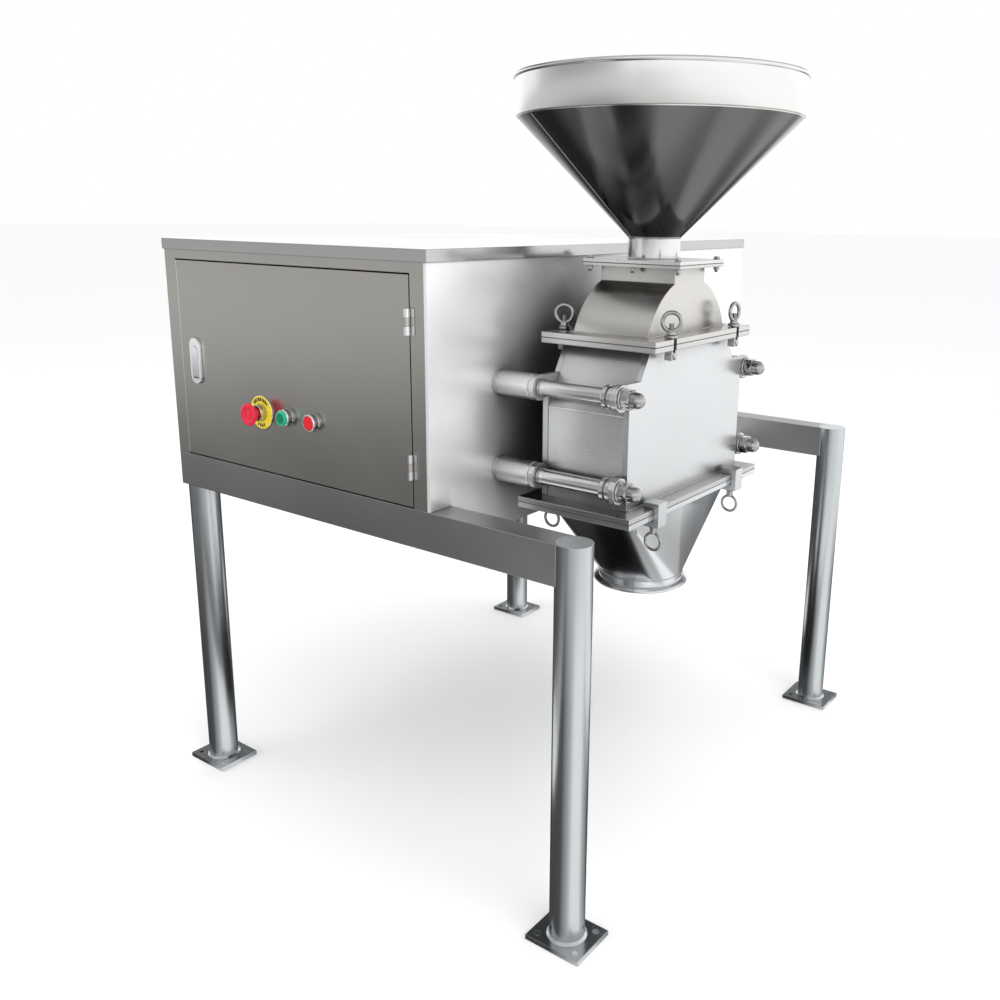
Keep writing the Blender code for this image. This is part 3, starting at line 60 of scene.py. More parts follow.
# Mill head
MILL_Y = -0.1407
BACK_PLATE = (0.071, 0.081)  # its two faces
FRONT_PLATE = (0.225, 0.235)
ROD_SPREAD = 0.2108
ROD_HEIGHTS = {"lower": 0.6946, "upper": 0.840}
ROD_RADIUS = 0.0128
COLLAR_RADIUS = 0.0190
STUD_RADIUS = 0.0095
STANDOFF_RADIUS = 0.021
NUT_FLATS = 0.029
CREASE_Z = 0.807
SIDE_HALF_WIDTH = 0.190
FLANGE_X = (0.0463, 0.2612)
INLET_Z = (0.9048, 0.9136, 0.9224)  # underside, joint and top of a pair of flanges
INLET_HALF_WIDTH = 0.164
DISCHARGE_Z = (0.6394, 0.6481, 0.6568)
DISCHARGE_HALF_WIDTH = 0.224
FEED_X = (0.0646, 0.2482)
FEED_Z = (1.0267, 1.03255, 1.0384)
FEED_HALF_WIDTH = 0.0748
CHUTE_X = (0.086, 0.226)
CHUTE_HALF_WIDTH = 0.131
CHUTE_THROAT = 0.050

# Hopper and outlet
HOPPER_X = 0.1561
HOPPER_SHEET = 0.002
HOPPER_NECK_RADIUS = 0.0435
HOPPER_CONE_BOTTOM = 1.0727
HOPPER_CONE_TOP = 1.2594
HOPPER_TOP = 1.323
HOPPER_RADIUS = 0.2300
HOPPER_RIM_RADIUS = 0.2361
HOPPER_SEAM = math.radians(-118)  # direction of the cone's seam, from +X
OUTLET_X = 0.1524
OUTLET_NECK_RADIUS = 0.0747
OUTLET_NECK_TOP = 0.4925

# Fasteners of the flange joints
SWING_Y = 0.110
SWING_SHIFT = {"front": 0.0067, "rear": -0.0015}
SWING_INSET = 0.008
SWING_SLOT_HALF = 0.0048
SWING_PIVOT_Z = 0.8955
SWING_BOLT_RADIUS = 0.004
SWING_EYE_RADIUS = 0.0078
SWING_EYE_WIDTH = 0.0072
SWING_PIN_RADIUS = 0.003
SWING_RING_Z = 0.9485
SWING_RING = (0.0144, 0.0034)  # radius of the ring and of its wire
SWING_RING_TURNS = {"front_door": 25, "front_back": 85, "rear_door": 25, "rear_back": 60}
CLAMP_Y = 0.1375
CLAMP_UNDER = 0.627
CLAMP_SCREW_X = {"front": 0.254, "rear": 0.0535}
CLAMP_SCREW_RADIUS = 0.005
CLAMP_RING_Z = 0.599
CLAMP_RING = (0.0142, 0.0024)  # radius of the ring and of its wire
FEED_BOLT_X = (0.0735, 0.1561, 0.2392)
FEED_BOLT_Y = 0.0663

# Name, half length, height and radius of the beads along the mill plates' edges
PLATE_WELDS = (
    ("top", 0.130, INLET_Z[0] - 0.0004, 0.0010),
    ("foot", 0.186, DISCHARGE_Z[2] + 0.0004, 0.0012),
)

# Controls
DOOR_FACE = -0.5255
CONTROL_Z = 0.7655
ESTOP_X = -0.3965
BUTTON_RADIUS = 0.0122
BUTTONS = {"start": (-0.328, 0.0175), "stop": (-0.262, 0.0135)}  # x, and how far the cap stands out
BUTTON_EDGE = 0.0012
LEGEND_RADIUS = 0.0292
LEGEND_MARKS = ((38, 142, 9), (242, 298, 4))  # two arcs of marks: from and to in degrees, and how many
LEGEND_MARKS_RADIUS = 0.0232
DOOR_X = (-0.620, -0.037)
DOOR_Z = (0.6595, 1.019)
DOOR_GAP = 0.0025
HEM = 0.00105  # radius of the rounded edge of the door's opening

SIDES = {"door": -1, "back": 1}
FRONT_AND_REAR = {"front": 1, "rear": -1}


# ---------------------------------------------------------------- shapes

def moved(shape, matrix):
    bmesh.ops.transform(shape, matrix=matrix, verts=shape.verts)
    return shape


def block(low, high):
    """A box between two corners."""
    shape = bmesh.new()
    bmesh.ops.create_cube(shape, size=1)
    size = Vector(high) - Vector(low)
    middle = (Vector(high) + Vector(low)) / 2
    return moved(shape, Matrix.Translation(middle) @ Matrix.Diagonal((*size, 1)))


def around(axis, centre, along, radius, angle):
    """The point that far along an axis through centre, at a radius and an angle."""
    main = "XYZ".index(axis)
    first, second = (index for index in range(3) if index != main)
    where = list(centre)
    where[main] += along
    where[first] += radius * math.cos(angle)
    where[second] += radius * math.sin(angle)
    return where


def bridge(shape, near, far):
    """Faces between two closed rings with as many points each."""
    for index in range(len(near)):
        following = (index + 1) % len(near)
        shape.faces.new((near[index], near[following], far[following], far[index]))


def turned(profile, axis, centre, segments=64):
    """A closed outline of (distance along the axis, radius) points, spun round an axis through centre."""
    shape = bmesh.new()
    rings = []
    for along, radius in profile:
        angles = [math.tau * step / segments for step in range(segments if radius > 0 else 1)]
        rings.append([shape.verts.new(around(axis, centre, along, radius, angle)) for angle in angles])
    for ring, following in zip(rings, rings[1:] + rings[:1]):
        if len(ring) == len(following) == 1:
            continue
        for step in range(segments):
            corners = [
                ring[step % len(ring)],
                ring[(step + 1) % len(ring)],
                following[(step + 1) % len(following)],
                following[step % len(following)],
            ]
            shape.faces.new(dict.fromkeys(corners))
    bmesh.ops.recalc_face_normals(shape, faces=shape.faces)
    return shape


def torus(axis, centre, ring_radius, wire_radius, segments=48, sides=16):
    """A ring of round wire."""
    angles = [math.tau * side / sides for side in range(sides)]
    profile = [(wire_radius * math.sin(a), ring_radius + wire_radius * math.cos(a)) for a in angles]
    return turned(profile, axis, centre, segments)


def chamfered_hexagon(axis, centre, start, end, flats, chamfer):
    """A hexagon bar whose corners are turned off at both ends, as on a nut."""
    shape = bmesh.new()
    steps = 48

    def ring(along, cut):
        """A hexagonal ring, or the round one that the corners are cut back to."""
        made = []
        for step in range(steps):
            angle = math.tau * step / steps
            radius = flats / 2
            if not cut:
                radius /= math.cos(math.radians(30) - angle % math.radians(60))
            made.append(shape.verts.new(around(axis, centre, along, radius, angle)))
        return made

    rings = [
        ring(start, True),
        ring(start + chamfer, False),
        ring(end - chamfer, False),
        ring(end, True),
    ]
    for near, far in zip(rings, rings[1:]):
        bridge(shape, near, far)
    shape.faces.new(rings[0])
    shape.faces.new(rings[-1])
    bmesh.ops.recalc_face_normals(shape, faces=shape.faces)
    return shape


def tube_along(points, radius, closed=False, sides=8):
    """A round bead along a line of points."""
    shape = bmesh.new()
    points = [Vector(p) for p in points]
    count = len(points)
    rings = []
    for index, here in enumerate(points):
        before = points[index - 1] if closed or index else here
        after = points[(index + 1) % count] if closed or index < count - 1 else here
        along = (after - before).normalized()
        helper = Vector((0, 0, 1)) if abs(along.z) < 0.9 else Vector((1, 0, 0))
        across = along.cross(helper).normalized()
        up = across.cross(along)
        ring = []
        for side in range(sides):
            angle = math.tau * side / sides
            outward = math.cos(angle) * across + math.sin(angle) * up
            ring.append(shape.verts.new(here + radius * outward))
        rings.append(ring)
    pairs = list(zip(rings, rings[1:]))
    if closed:
        pairs.append((rings[-1], rings[0]))
    for near, far in pairs:
        bridge(shape, near, far)
    if not closed:
        shape.faces.new(rings[0])
        shape.faces.new(rings[-1])
    bmesh.ops.recalc_face_normals(shape, faces=shape.faces)
    return shape


def threaded(axis, centre, start, end, radius, pitch, depth, segments=24):
    """A bar with thread grooves, each groove a ring."""
    profile = [(start, 0), (start, radius - depth)]
    turns = max(1, int(abs(end - start) / pitch))
    step = (end - start) / turns
    for turn in range(turns):
        profile.append((start + step * (turn + 0.35), radius))
        profile.append((start + step * (turn + 0.55), radius))
        profile.append((start + step * (turn + 1), radius - depth))
    profile.append((end, 0))
    return turned(profile, axis, centre, segments)


def joined(*shapes):
    """Several shapes in one."""
    whole = bmesh.new()
    for shape in shapes:
        mesh = bpy.data.meshes.new("part_of_shape")
        shape.to_mesh(mesh)
        shape.free()
        whole.from_mesh(mesh)
        bpy.data.meshes.remove(mesh)
    return whole


# ---------------------------------------------------------------- materials

class Nodes:
    """A node tree, with short ways to add and link nodes."""

    def __init__(self, tree):
        self.tree = tree

    def add(self, kind, **settings):
        node = self.tree.nodes.new(kind)
        for key, value in settings.items():
            setattr(node, key, value)
        return node

    def link(self, source, target):
        self.tree.links.new(source, target)

    def noise(self, scale, detail=3.0, stretch=(1, 1, 1), roughness=0.55):
        """Noise in the object's own coordinates, stretched along one axis for grain."""
        coordinates = self.add("ShaderNodeTexCoord")
        mapping = self.add("ShaderNodeMapping")
        mapping.inputs["Scale"].default_value = stretch
        noise = self.add("ShaderNodeTexNoise")
        noise.inputs["Scale"].default_value = scale
        noise.inputs["Detail"].default_value = detail
        noise.inputs["Roughness"].default_value = roughness
        self.link(coordinates.outputs["Object"], mapping.inputs["Vector"])
        self.link(mapping.outputs["Vector"], noise.inputs["Vector"])
        return noise.outputs["Fac"]

    def spread(self, source, low, high, start=0.3, end=0.7, **settings):
        """Maps start to end of a value, by default the middle of a noise, onto low to high."""
        node = self.add("ShaderNodeMapRange", **settings)
        node.inputs["From Min"].default_value = start
        node.inputs["From Max"].default_value = end
        node.inputs["To Min"].default_value = low
        node.inputs["To Max"].default_value = high
        self.link(source, node.inputs["Value"])
        return node.outputs["Result"]

    def mixed(self, factor, low, high):
        """A colour between low and high, each of them a colour or a socket."""
        node = self.add("ShaderNodeMix", data_type="RGBA")
        for name, end in (("A", low), ("B", high)):
            if isinstance(end, tuple):
                node.inputs[name].default_value = (*end, 1)
            else:
                self.link(end, node.inputs[name])
        self.link(factor, node.inputs["Factor"])
        return node.outputs["Result"]

    def multiplied(self, first, second):
        node = self.add("ShaderNodeMix", data_type="RGBA", blend_type="MULTIPLY")
        node.inputs["Factor"].default_value = 1
        self.link(first, node.inputs["A"])
        self.link(second, node.inputs["B"])
        return node.outputs["Result"]

    def total(self, first, second):
        node = self.add("ShaderNodeMath", operation="ADD")
        self.link(first, node.inputs[0])
        self.link(second, node.inputs[1])
        return node.outputs[0]

    def vector(self, operation, first, second=None, output="Vector"):
        """One vector operation between a socket and another socket or a fixed vector."""
        node = self.add("ShaderNodeVectorMath", operation=operation)
        self.link(first, node.inputs[0])
        if isinstance(second, tuple):
            node.inputs[1].default_value = second
        elif second is not None:
            self.link(second, node.inputs[1])
        return node.outputs[output]

    def towards(self, direction, target):
        """How far a direction points towards target, as 0 to 1."""
        return self.spread(self.vector("DOT_PRODUCT", direction, target, "Value"), 0, 1, -1, 1)

    def beyond(self, place, near, far):
        """0 within near of the model's origin, 1 beyond far."""
        distance = self.vector("DISTANCE", place, (0, 0, 0), "Value")
        return self.spread(distance, 0, 1, near, far, interpolation_type="SMOOTHSTEP")

    def ramp(self, source, *stops):
        """Greys along a value, from stops of (value, grey)."""
        node = self.add("ShaderNodeValToRGB")
        node.color_ramp.interpolation = "EASE"
        elements = node.color_ramp.elements
        while len(elements) < len(stops):
            elements.new(0.5)
        for element, (place, grey) in zip(elements, stops):
            element.position = place
            element.color = (grey, grey, grey, 1)
        self.link(source, node.inputs["Fac"])
        return node.outputs["Color"]

    def relief(self, height, strength, distance, edge=0.0, under=None):
        """A bump, over rounded edges where edge is given."""
        bump = self.add("ShaderNodeBump")
        bump.inputs["Strength"].default_value = strength
        bump.inputs["Distance"].default_value = distance
        self.link(height, bump.inputs["Height"])
        if under is not None:
            self.link(under, bump.inputs["Normal"])
        elif edge:
            bevel = self.add("ShaderNodeBevel", samples=4)
            bevel.inputs["Radius"].default_value = edge
            self.link(bevel.outputs["Normal"], bump.inputs["Normal"])
        return bump.outputs["Normal"]

    def finish(self, kind, seen, mirrored):
        """Shows one shader to the eye and another to what mirrors it."""
        path = self.add("ShaderNodeLightPath")
        mix = self.add("ShaderNodeMixShader")
        self.link(path.outputs["Is Glossy Ray"], mix.inputs["Fac"])
        self.link(seen.outputs[0], mix.inputs[1])
        self.link(mirrored.outputs[0], mix.inputs[2])
        self.link(mix.outputs["Shader"], self.add(kind).inputs["Surface"])


class Surface(Nodes):
    """A new material and its shader."""

    def __init__(self, name):
        self.material = bpy.data.materials.new(name)
        self.material.use_nodes = True
        super().__init__(self.material.node_tree)
        self.shader = self.tree.nodes["Principled BSDF"]

    def feed(self, socket, source):
        self.link(source, self.shader.inputs[socket])

    def fix(self, socket, value):
        self.shader.inputs[socket].default_value = value


def lighter(colour, factor):
    return tuple(min(1.0, channel * factor) for channel in colour)


def metal(name, colour, roughness, grain, edge, relief=0.0, smudge=0.03, wave=0.0, painted_shade=0.0,
          metallic=1.0, reach=0.10):
    """Stainless or steel with polishing lines, faint hand marks and soft edges.

    grain is how fine the lines are along x, y and z, and relief their depth. edge is the radius of the
    edges, wave the unevenness of a thin sheet. painted_shade is painted shade: it darkens the colour
    in corners and gaps, where shade falls, by up to that share, out to reach.
    """
    made = Surface(name)
    lines = made.noise(1.0, 2.0, grain, 0.5)
    marks = made.noise(4.0, 5.0, (1, 1, 1), 0.6)
    varied = made.total(
        made.spread(lines, roughness - 0.008, roughness + 0.008),
        made.spread(marks, -smudge, smudge),
    )
    made.feed("Roughness", varied)
    shade = made.mixed(made.spread(marks, 0, 1), lighter(colour, 0.955), lighter(colour, 1.03))
    shade = made.multiplied(shade, made.mixed(made.spread(lines, 0, 1), (0.985,) * 3, (1, 1, 1)))
    # painted shade: ambient occlusion darkens the base colour in corners and gaps, where shade falls
    if painted_shade:
        crevice = made.add("ShaderNodeAmbientOcclusion", samples=12)
        crevice.inputs["Distance"].default_value = reach
        openness = made.spread(crevice.outputs["AO"], 0, 1, 0.15, 0.85)
        shade = made.multiplied(shade, made.mixed(openness, (1 - painted_shade,) * 3, (1, 1, 1)))
    made.feed("Base Color", shade)
    made.fix("Metallic", metallic)
    normal = made.relief(lines, relief, 0.0001, edge)
    if wave:
        normal = made.relief(made.noise(2.6, 1.0), wave, 0.02, under=normal)
    made.feed("Normal", normal)
    return made.material


def moulded(name, colour, roughness, depth=0.06):
    """Plastic with a faint mould texture and rubbed patches."""
    made = Surface(name)
    patches = made.noise(120.0, 4.0)
    skin = made.noise(900.0, 2.0)
    made.feed("Roughness", made.spread(patches, roughness - 0.06, roughness + 0.08))
    shade = made.mixed(made.spread(patches, 0, 1), lighter(colour, 0.86), lighter(colour, 1.08))
    made.feed("Base Color", shade)
    made.feed("Normal", made.relief(skin, depth, 0.0002, 0.0004))
    made.fix("Coat Weight", 0.3)
    made.fix("Coat Roughness", 0.12)
    return made.material


def rough_cast(name, colour, roughness, metallic, depth):
    """Cast or painted skin with a pebbled surface and worn colour."""
    made = Surface(name)
    pebbles = made.noise(420.0, 3.0)
    wear = made.noise(14.0, 5.0)
    made.feed("Roughness", made.spread(wear, roughness - 0.08, roughness + 0.10))
    shade = made.mixed(made.spread(wear, 0, 1), lighter(colour, 0.7), lighter(colour, 1.25))
    made.feed("Base Color", shade)
    made.fix("Metallic", metallic)
    made.feed("Normal", made.relief(pebbles, depth, 0.0006, 0.0008))
    return made.material


def weld_bead(name):
    """A weld with ripples and faint straw and blue heat colours."""
    made = Surface(name)
    ripples = made.noise(380.0, 2.0)
    heat = made.noise(45.0, 3.0)
    made.feed("Base Color", made.mixed(made.spread(heat, 0, 1), HEAT_BLUE, HEAT_STRAW))
    made.feed("Roughness", made.spread(ripples, 0.26, 0.44))
    made.fix("Metallic", 1.0)
    made.feed("Normal", made.relief(ripples, 0.5, 0.0006))
    return made.material


HEAT_BLUE = (0.42, 0.42, 0.45)
HEAT_STRAW = (0.60, 0.56, 0.50)

# The ways polishing lines run: the noise is stretched along the axes with small numbers
ALONG_X = (6, 900, 900)
LEVEL = (6, 6, 900)
UPRIGHT = (900, 900, 6)
ROUND_Z = (12, 12, 900)
ROUND_X = (1400, 20, 20)
EVEN = (200, 200, 200)

# painted_shade darkens each metal's colour in its corners and gaps: painted shade, strongest on the head
# wall round the mill
METALS = {
    "door_sheet": dict(colour=(0.575, 0.56, 0.525), roughness=0.25, grain=LEVEL, smudge=0.02,
                       edge=0.0010, wave=0.02, painted_shade=0.3),
    "wall_sheet": dict(colour=(0.94, 0.95, 0.965), roughness=0.30, grain=(900, 6, 6), edge=0.0012,
                       wave=0.02, painted_shade=0.97, metallic=0.6, reach=0.20),
    "panel_sheet": dict(colour=(0.60, 0.595, 0.58), roughness=0.30, grain=LEVEL, edge=0.0020,
                        wave=0.02, painted_shade=0.4),
    "sleeve_steel": dict(colour=(0.80, 0.80, 0.80), roughness=0.30, grain=ROUND_X, relief=0.02,
                         edge=0.0, painted_shade=0.5),
    "lid_sheet": dict(colour=(0.52, 0.52, 0.52), roughness=0.14, grain=ALONG_X, edge=0.0012,
                      wave=0.05),
    "beam_sheet": dict(colour=(0.52, 0.52, 0.515), roughness=0.32, grain=(5, 900, 900), edge=0.0020,
                       painted_shade=0.2),
    "leg_tube": dict(colour=(0.64, 0.67, 0.69), roughness=0.24, grain=UPRIGHT, edge=0.0010, painted_shade=0.3),
    "plate_face": dict(colour=(0.73, 0.745, 0.76), roughness=0.28, grain=(400, 6, 400), edge=0.0012,
                       painted_shade=0.7, metallic=0.93),
    "mill_sheet": dict(colour=(0.645, 0.645, 0.64), roughness=0.28, grain=LEVEL, edge=0.0022,
                       painted_shade=0.6),
    "chute_sheet": dict(colour=(0.66, 0.645, 0.62), roughness=0.26, grain=LEVEL, edge=0.0022,
                        painted_shade=0.6),
    "spun_band": dict(colour=(0.80, 0.795, 0.785), roughness=0.20, grain=ROUND_Z, edge=0.0),
    # painted shade: the hopper cone's outside is a darkened copy of spun_band, standing in for the dark
    # it mirrors
    "spun_cone_painted_dark": dict(colour=(0.16, 0.159, 0.157), roughness=0.17, grain=ROUND_Z, edge=0.0,
                      painted_shade=0.2),
    "outlet_sheet": dict(colour=(0.80, 0.82, 0.84), roughness=0.22, grain=(12, 12, 700), edge=0.0010,
                         painted_shade=0.3),
    "turned_steel": dict(colour=(0.74, 0.735, 0.72), roughness=0.22, grain=ROUND_X, relief=0.02,
                         edge=0.0003, painted_shade=0.6),
    "polished": dict(colour=(0.46, 0.455, 0.45), roughness=0.12, grain=(300, 300, 300), edge=0.0005,
                     painted_shade=0.4),
    "chrome": dict(colour=(0.84, 0.84, 0.85), roughness=0.09, grain=EVEN, smudge=0.02, edge=0.0004,
                   painted_shade=0.6),
    # the latch's finish, also put on beads along folds, the door's opening and the bezels' rings as
    # painted highlight lines
    "bright_cast": dict(colour=(0.95, 0.95, 0.97), roughness=0.10, grain=EVEN, smudge=0.02,
                        edge=0.0012, painted_shade=0.7, metallic=0.8, reach=0.012),
    # painted shade: a darkened copy of chrome for the buttons' bezels, for the dark bands they mirror
    "dark_chrome": dict(colour=(0.36, 0.36, 0.37), roughness=0.08, grain=EVEN, smudge=0.02,
                        edge=0.0004, painted_shade=0.5),
    "machined": dict(colour=(0.40, 0.39, 0.38), roughness=0.38, grain=(900, 60, 60), relief=0.10,
                     smudge=0.06, edge=0.0005, painted_shade=0.4),
}
# Colour, roughness and, where it isn't the usual one, depth of the mould texture
PLASTICS = {
    "red": ((0.68, 0.006, 0.040), 0.26),
    "red_lens": ((0.66, 0.004, 0.012), 0.22, 0.02),
    "green_lens": ((0.0, 0.17, 0.085), 0.20, 0.02),
    # painted light: a brighter copy of the start button's green for its side, as if lit from the right;
    # green_lens is the darker front
    "green_painted_lit": ((0.005, 0.46, 0.27), 0.20, 0.02),
    "yellow": ((0.88, 0.70, 0.025), 0.30, 0.02),
    "print": ((0.015, 0.015, 0.01), 0.5, 0.02),
    "gasket": ((0.03, 0.03, 0.035), 0.65, 0.2),
}
# Colour, roughness, metallic share and depth of the pebbles
CASTINGS = {
    "motor_paint": ((0.20, 0.25, 0.30), 0.45, 0.0, 0.15),
    "cast_iron": ((0.18, 0.18, 0.18), 0.60, 0.6, 0.4),
    "rubber": ((0.03, 0.03, 0.03), 0.75, 0.0, 0.2),
}
MATERIALS = {name: metal(name, **finish) for name, finish in METALS.items()}
MATERIALS["weld"] = weld_bead("weld")
MATERIALS |= {name: moulded(name, *finish) for name, finish in PLASTICS.items()}
MATERIALS |= {name: rough_cast(name, *finish) for name, finish in CASTINGS.items()}

# Each material, with the starts of the names of the CAD nodes that have it
MATERIAL_NODES = {
    "door_sheet": ("door", "door_side_panel"),
    "panel_sheet": ("back_side_panel", "tail_panel"),
    "wall_sheet": ("head_wall",),
    "lid_sheet": ("lid",),
    "beam_sheet": ("motor_shelf", "side_beam"),
    "leg_tube": ("leg",),
    "plate_face": ("mill_front_plate", "mill_back_plate", "clamp"),
    "mill_sheet": ("mill_casing",),
    "chute_sheet": ("inlet_chute",),
    "spun_band": ("hopper",),
    "outlet_sheet": ("outlet_cone",),
    "turned_steel": ("tie_rod",),
    "polished": ("cap_nut", "swing_bolt", "clamp_screw"),
    "chrome": ("door_hinge", "estop_body"),
    "bright_cast": ("latch",),
    "dark_chrome": ("start_bezel", "stop_bezel"),
    "red": ("estop_head",),
    "green_lens": ("start_button",),
    "red_lens": ("stop_button",),
    "cast_iron": ("spindle_housing",),
    "motor_paint": ("motor",),
    "machined": ("motor_pulley", "main_shaft", "rotor", "hammer", "screen"),
    "rubber": ("drive_belt",),
}
NODE_MATERIALS = {start: name for name, starts in MATERIAL_NODES.items() for start in starts}

# Materials of large flat sheets, whose nodes are left flat
FLAT_SHEETS = ("door_sheet", "wall_sheet", "lid_sheet", "beam_sheet", "panel_sheet")
SHARP_EDGE = math.radians(33)
MERGE_DISTANCE = 0.00002


def dress_nodes():
    """Gives each CAD node the material of the longest start of its name, and smooths its rounds."""
    group = smoothing()
    for name, node in nodes.items():
        start = max((key for key in NODE_MATERIALS if name.startswith(key)), key=len)
        node.data.materials.clear()
        node.data.materials.append(MATERIALS[NODE_MATERIALS[start]])
        if NODE_MATERIALS[start] not in FLAT_SHEETS:
            smooth = node.modifiers.new("smooth_rounds", "NODES")
            smooth.node_group = group


def smoothing():
    """A node group that shades faces smooth and keeps edges over SHARP_EDGE sharp."""
    group = bpy.data.node_groups.new("smooth_rounds", "GeometryNodeTree")
    for way in ("INPUT", "OUTPUT"):
        group.interface.new_socket("Geometry", in_out=way, socket_type="NodeSocketGeometry")
    made = Nodes(group)
    plain = made.add("GeometryNodeRemoveAttribute")
    plain.inputs["Name"].default_value = "custom_normal"
    weld = made.add("GeometryNodeMergeByDistance")
    weld.inputs["Distance"].default_value = MERGE_DISTANCE
    faces = made.add("GeometryNodeSetShadeSmooth", domain="FACE")
    faces.inputs["Shade Smooth"].default_value = True
    edges = made.add("GeometryNodeSetShadeSmooth", domain="EDGE")
    edges.inputs["Shade Smooth"].default_value = False
    angle = made.add("GeometryNodeInputMeshEdgeAngle")
    sharp = made.add("FunctionNodeCompare", operation="GREATER_THAN")
    sharp.inputs["B"].default_value = SHARP_EDGE
    made.link(angle.outputs["Unsigned Angle"], sharp.inputs["A"])
    made.link(sharp.outputs["Result"], edges.inputs["Selection"])
    chain = [made.add("NodeGroupInput"), plain, weld, faces, edges, made.add("NodeGroupOutput")]
    for step, following in zip(chain, chain[1:]):
        made.link(step.outputs["Geometry"], following.inputs["Geometry"])
    return group


# ---------------------------------------------------------------- places

def rod_places(x=0):
    """The name and the middle of each of the four rods that carry the mill, at the given x."""
    for level, height in ROD_HEIGHTS.items():
        for side, sign in SIDES.items():
            yield f"{level}_{side}", (x, MILL_Y + sign * ROD_SPREAD, height)


def rectangle(x_range, half_width, z, proud=0.0):
    """The corners of a level rectangle about the mill's middle, grown by proud all round."""
    low_x, high_x = x_range[0] - proud, x_range[1] + proud
    low_y, high_y = MILL_Y - half_width - proud, MILL_Y + half_width + proud
    return [(low_x, low_y, z), (high_x, low_y, z), (high_x, high_y, z), (low_x, high_y, z)]


def arc(middle, radius, start, end, steps):
    """Profile points round an arc, given as (along the axis, radius) with angles in degrees."""
    points = []
    for step in range(steps + 1):
        angle = math.radians(start + (end - start) * step / steps)
        points.append((middle[0] + radius * math.sin(angle), middle[1] + radius * math.cos(angle)))
    return points


# ---------------------------------------------------------------- pieces

def piece(name, shape, material, body="frame", replaced=(), sharp=32):
    """A shape in the layout becomes an object that rides on a CAD body."""
    moved(shape, Matrix.Translation(LAYOUT))
    for face in shape.faces:
        face.smooth = True
    for edge in shape.edges:
        if len(edge.link_faces) == 2 and edge.calc_face_angle() > math.radians(sharp):
            edge.smooth = False
    mesh = bpy.data.meshes.new(name)
    shape.to_mesh(mesh)
    shape.free()
    made = bpy.data.objects.new(name, mesh)
    mesh.materials.append(MATERIALS[material])
    bpy.context.scene.collection.objects.link(made)
    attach(made, body)
    if replaced:
        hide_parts(*replaced)
    return made


def make_hopper():
    """Neck, cone, band and rolled rim in one turned shell, with its flange and welds."""
    sheet = HOPPER_SHEET
    neck, band, rim = HOPPER_NECK_RADIUS, HOPPER_RADIUS, HOPPER_RIM_RADIUS
    low, high = HOPPER_CONE_BOTTOM, HOPPER_CONE_TOP
    seat = FEED_Z[1] + 0.0005
    roll = (rim - band + 0.001) / 2
    outside = [
        (seat, neck),
        (low - 0.003, neck),
        (low, neck + 0.0006),
        (low + 0.002, neck + 0.0022),
        (high - 0.0015, band - 0.0016),
        (high, band - 0.0006),
        (high + 0.0015, band),
    ]
    rolled = arc((HOPPER_TOP - roll, rim - roll), roll, -90, 135, 12)
    inside = [
        (HOPPER_TOP - 0.0015, band - sheet),
        (high, band - sheet),
        (low + sheet / 2, neck - sheet),
        (seat, neck - sheet),
    ]
    shell = turned(outside + rolled + inside, "Z", (HOPPER_X, MILL_Y, 0), 160)
    made = piece("hopper_shell", shell, "spun_band", replaced=["hopper"],
                 sharp=28)
    # painted shade: the outside faces of the cone take the darkened copy of the band's metal
    made.data.materials.append(MATERIALS["spun_cone_painted_dark"])
    for polygon in made.data.polygons:
        on_cone = low + 0.001 < polygon.center.z < high - 0.001
        polygon.material_index = int(on_cone and polygon.normal.z < 0)

    flange = flange_ring(FEED_X, FEED_HALF_WIDTH, FEED_Z[1], FEED_Z[2], (HOPPER_X, neck - 0.001))
    piece("hopper_flange", flange, "plate_face")

    across = Vector((math.cos(HOPPER_SEAM), math.sin(HOPPER_SEAM), 0))
    seam = []
    for step in range(25):
        height = low + 0.003 + step / 24 * (high - low - 0.005)
        radius = neck + (height - low) * (band - neck) / (high - low)
        seam.append(Vector((HOPPER_X, MILL_Y, height)) + (radius - 0.0004) * across)
    piece("hopper_seam_weld", tube_along(seam, 0.0011), "weld")
    for name, height, radius, bead, segments in (
        ("girth", high + 0.0008, band - 0.0003, 0.0009, 160),
        ("neck", FEED_Z[2] + 0.0004, neck + 0.0006, 0.0016, 64),
        ("throat", low, neck + 0.0002, 0.0010, 64),
    ):
        weld = torus("Z", (HOPPER_X, MILL_Y, height), radius, bead, segments, 8)
        piece(f"hopper_{name}_weld", weld, "weld")


def flange_ring(x_range, half_width, low, high, hole):
    """A flat flange with a round hole."""
    hole_x, hole_radius = hole
    steps = 96
    shape = bmesh.new()
    half_length = (x_range[1] - x_range[0]) / 2
    middle_x = sum(x_range) / 2

    def corner(angle, z):
        """The point on the rectangle's outline in that direction from its middle."""
        turn_x, turn_y = math.cos(angle), math.sin(angle)
        reach = min(
            half_length / max(abs(turn_x), 1e-9),
            half_width / max(abs(turn_y), 1e-9),
        )
        return shape.verts.new((middle_x + reach * turn_x, MILL_Y + reach * turn_y, z))

    corner_angle = math.atan2(half_width, half_length)
    angles = {math.tau * step / steps for step in range(steps)}
    angles |= {corner_angle, math.pi - corner_angle, math.pi + corner_angle, math.tau - corner_angle}
    angles = sorted(angles)
    loops = []
    for z in (low, high):
        loops.append([corner(angle, z) for angle in angles])
        loops.append([
            shape.verts.new((hole_x + hole_radius * math.cos(a), MILL_Y + hole_radius * math.sin(a), z))
            for a in angles
        ])
    outer_low, inner_low, outer_high, inner_high = loops
    for near, far in ((outer_low, outer_high), (inner_low, inner_high), (outer_low, inner_low),
                      (outer_high, inner_high)):
        bridge(shape, near, far)
    bmesh.ops.recalc_face_normals(shape, faces=shape.faces)
    return shape


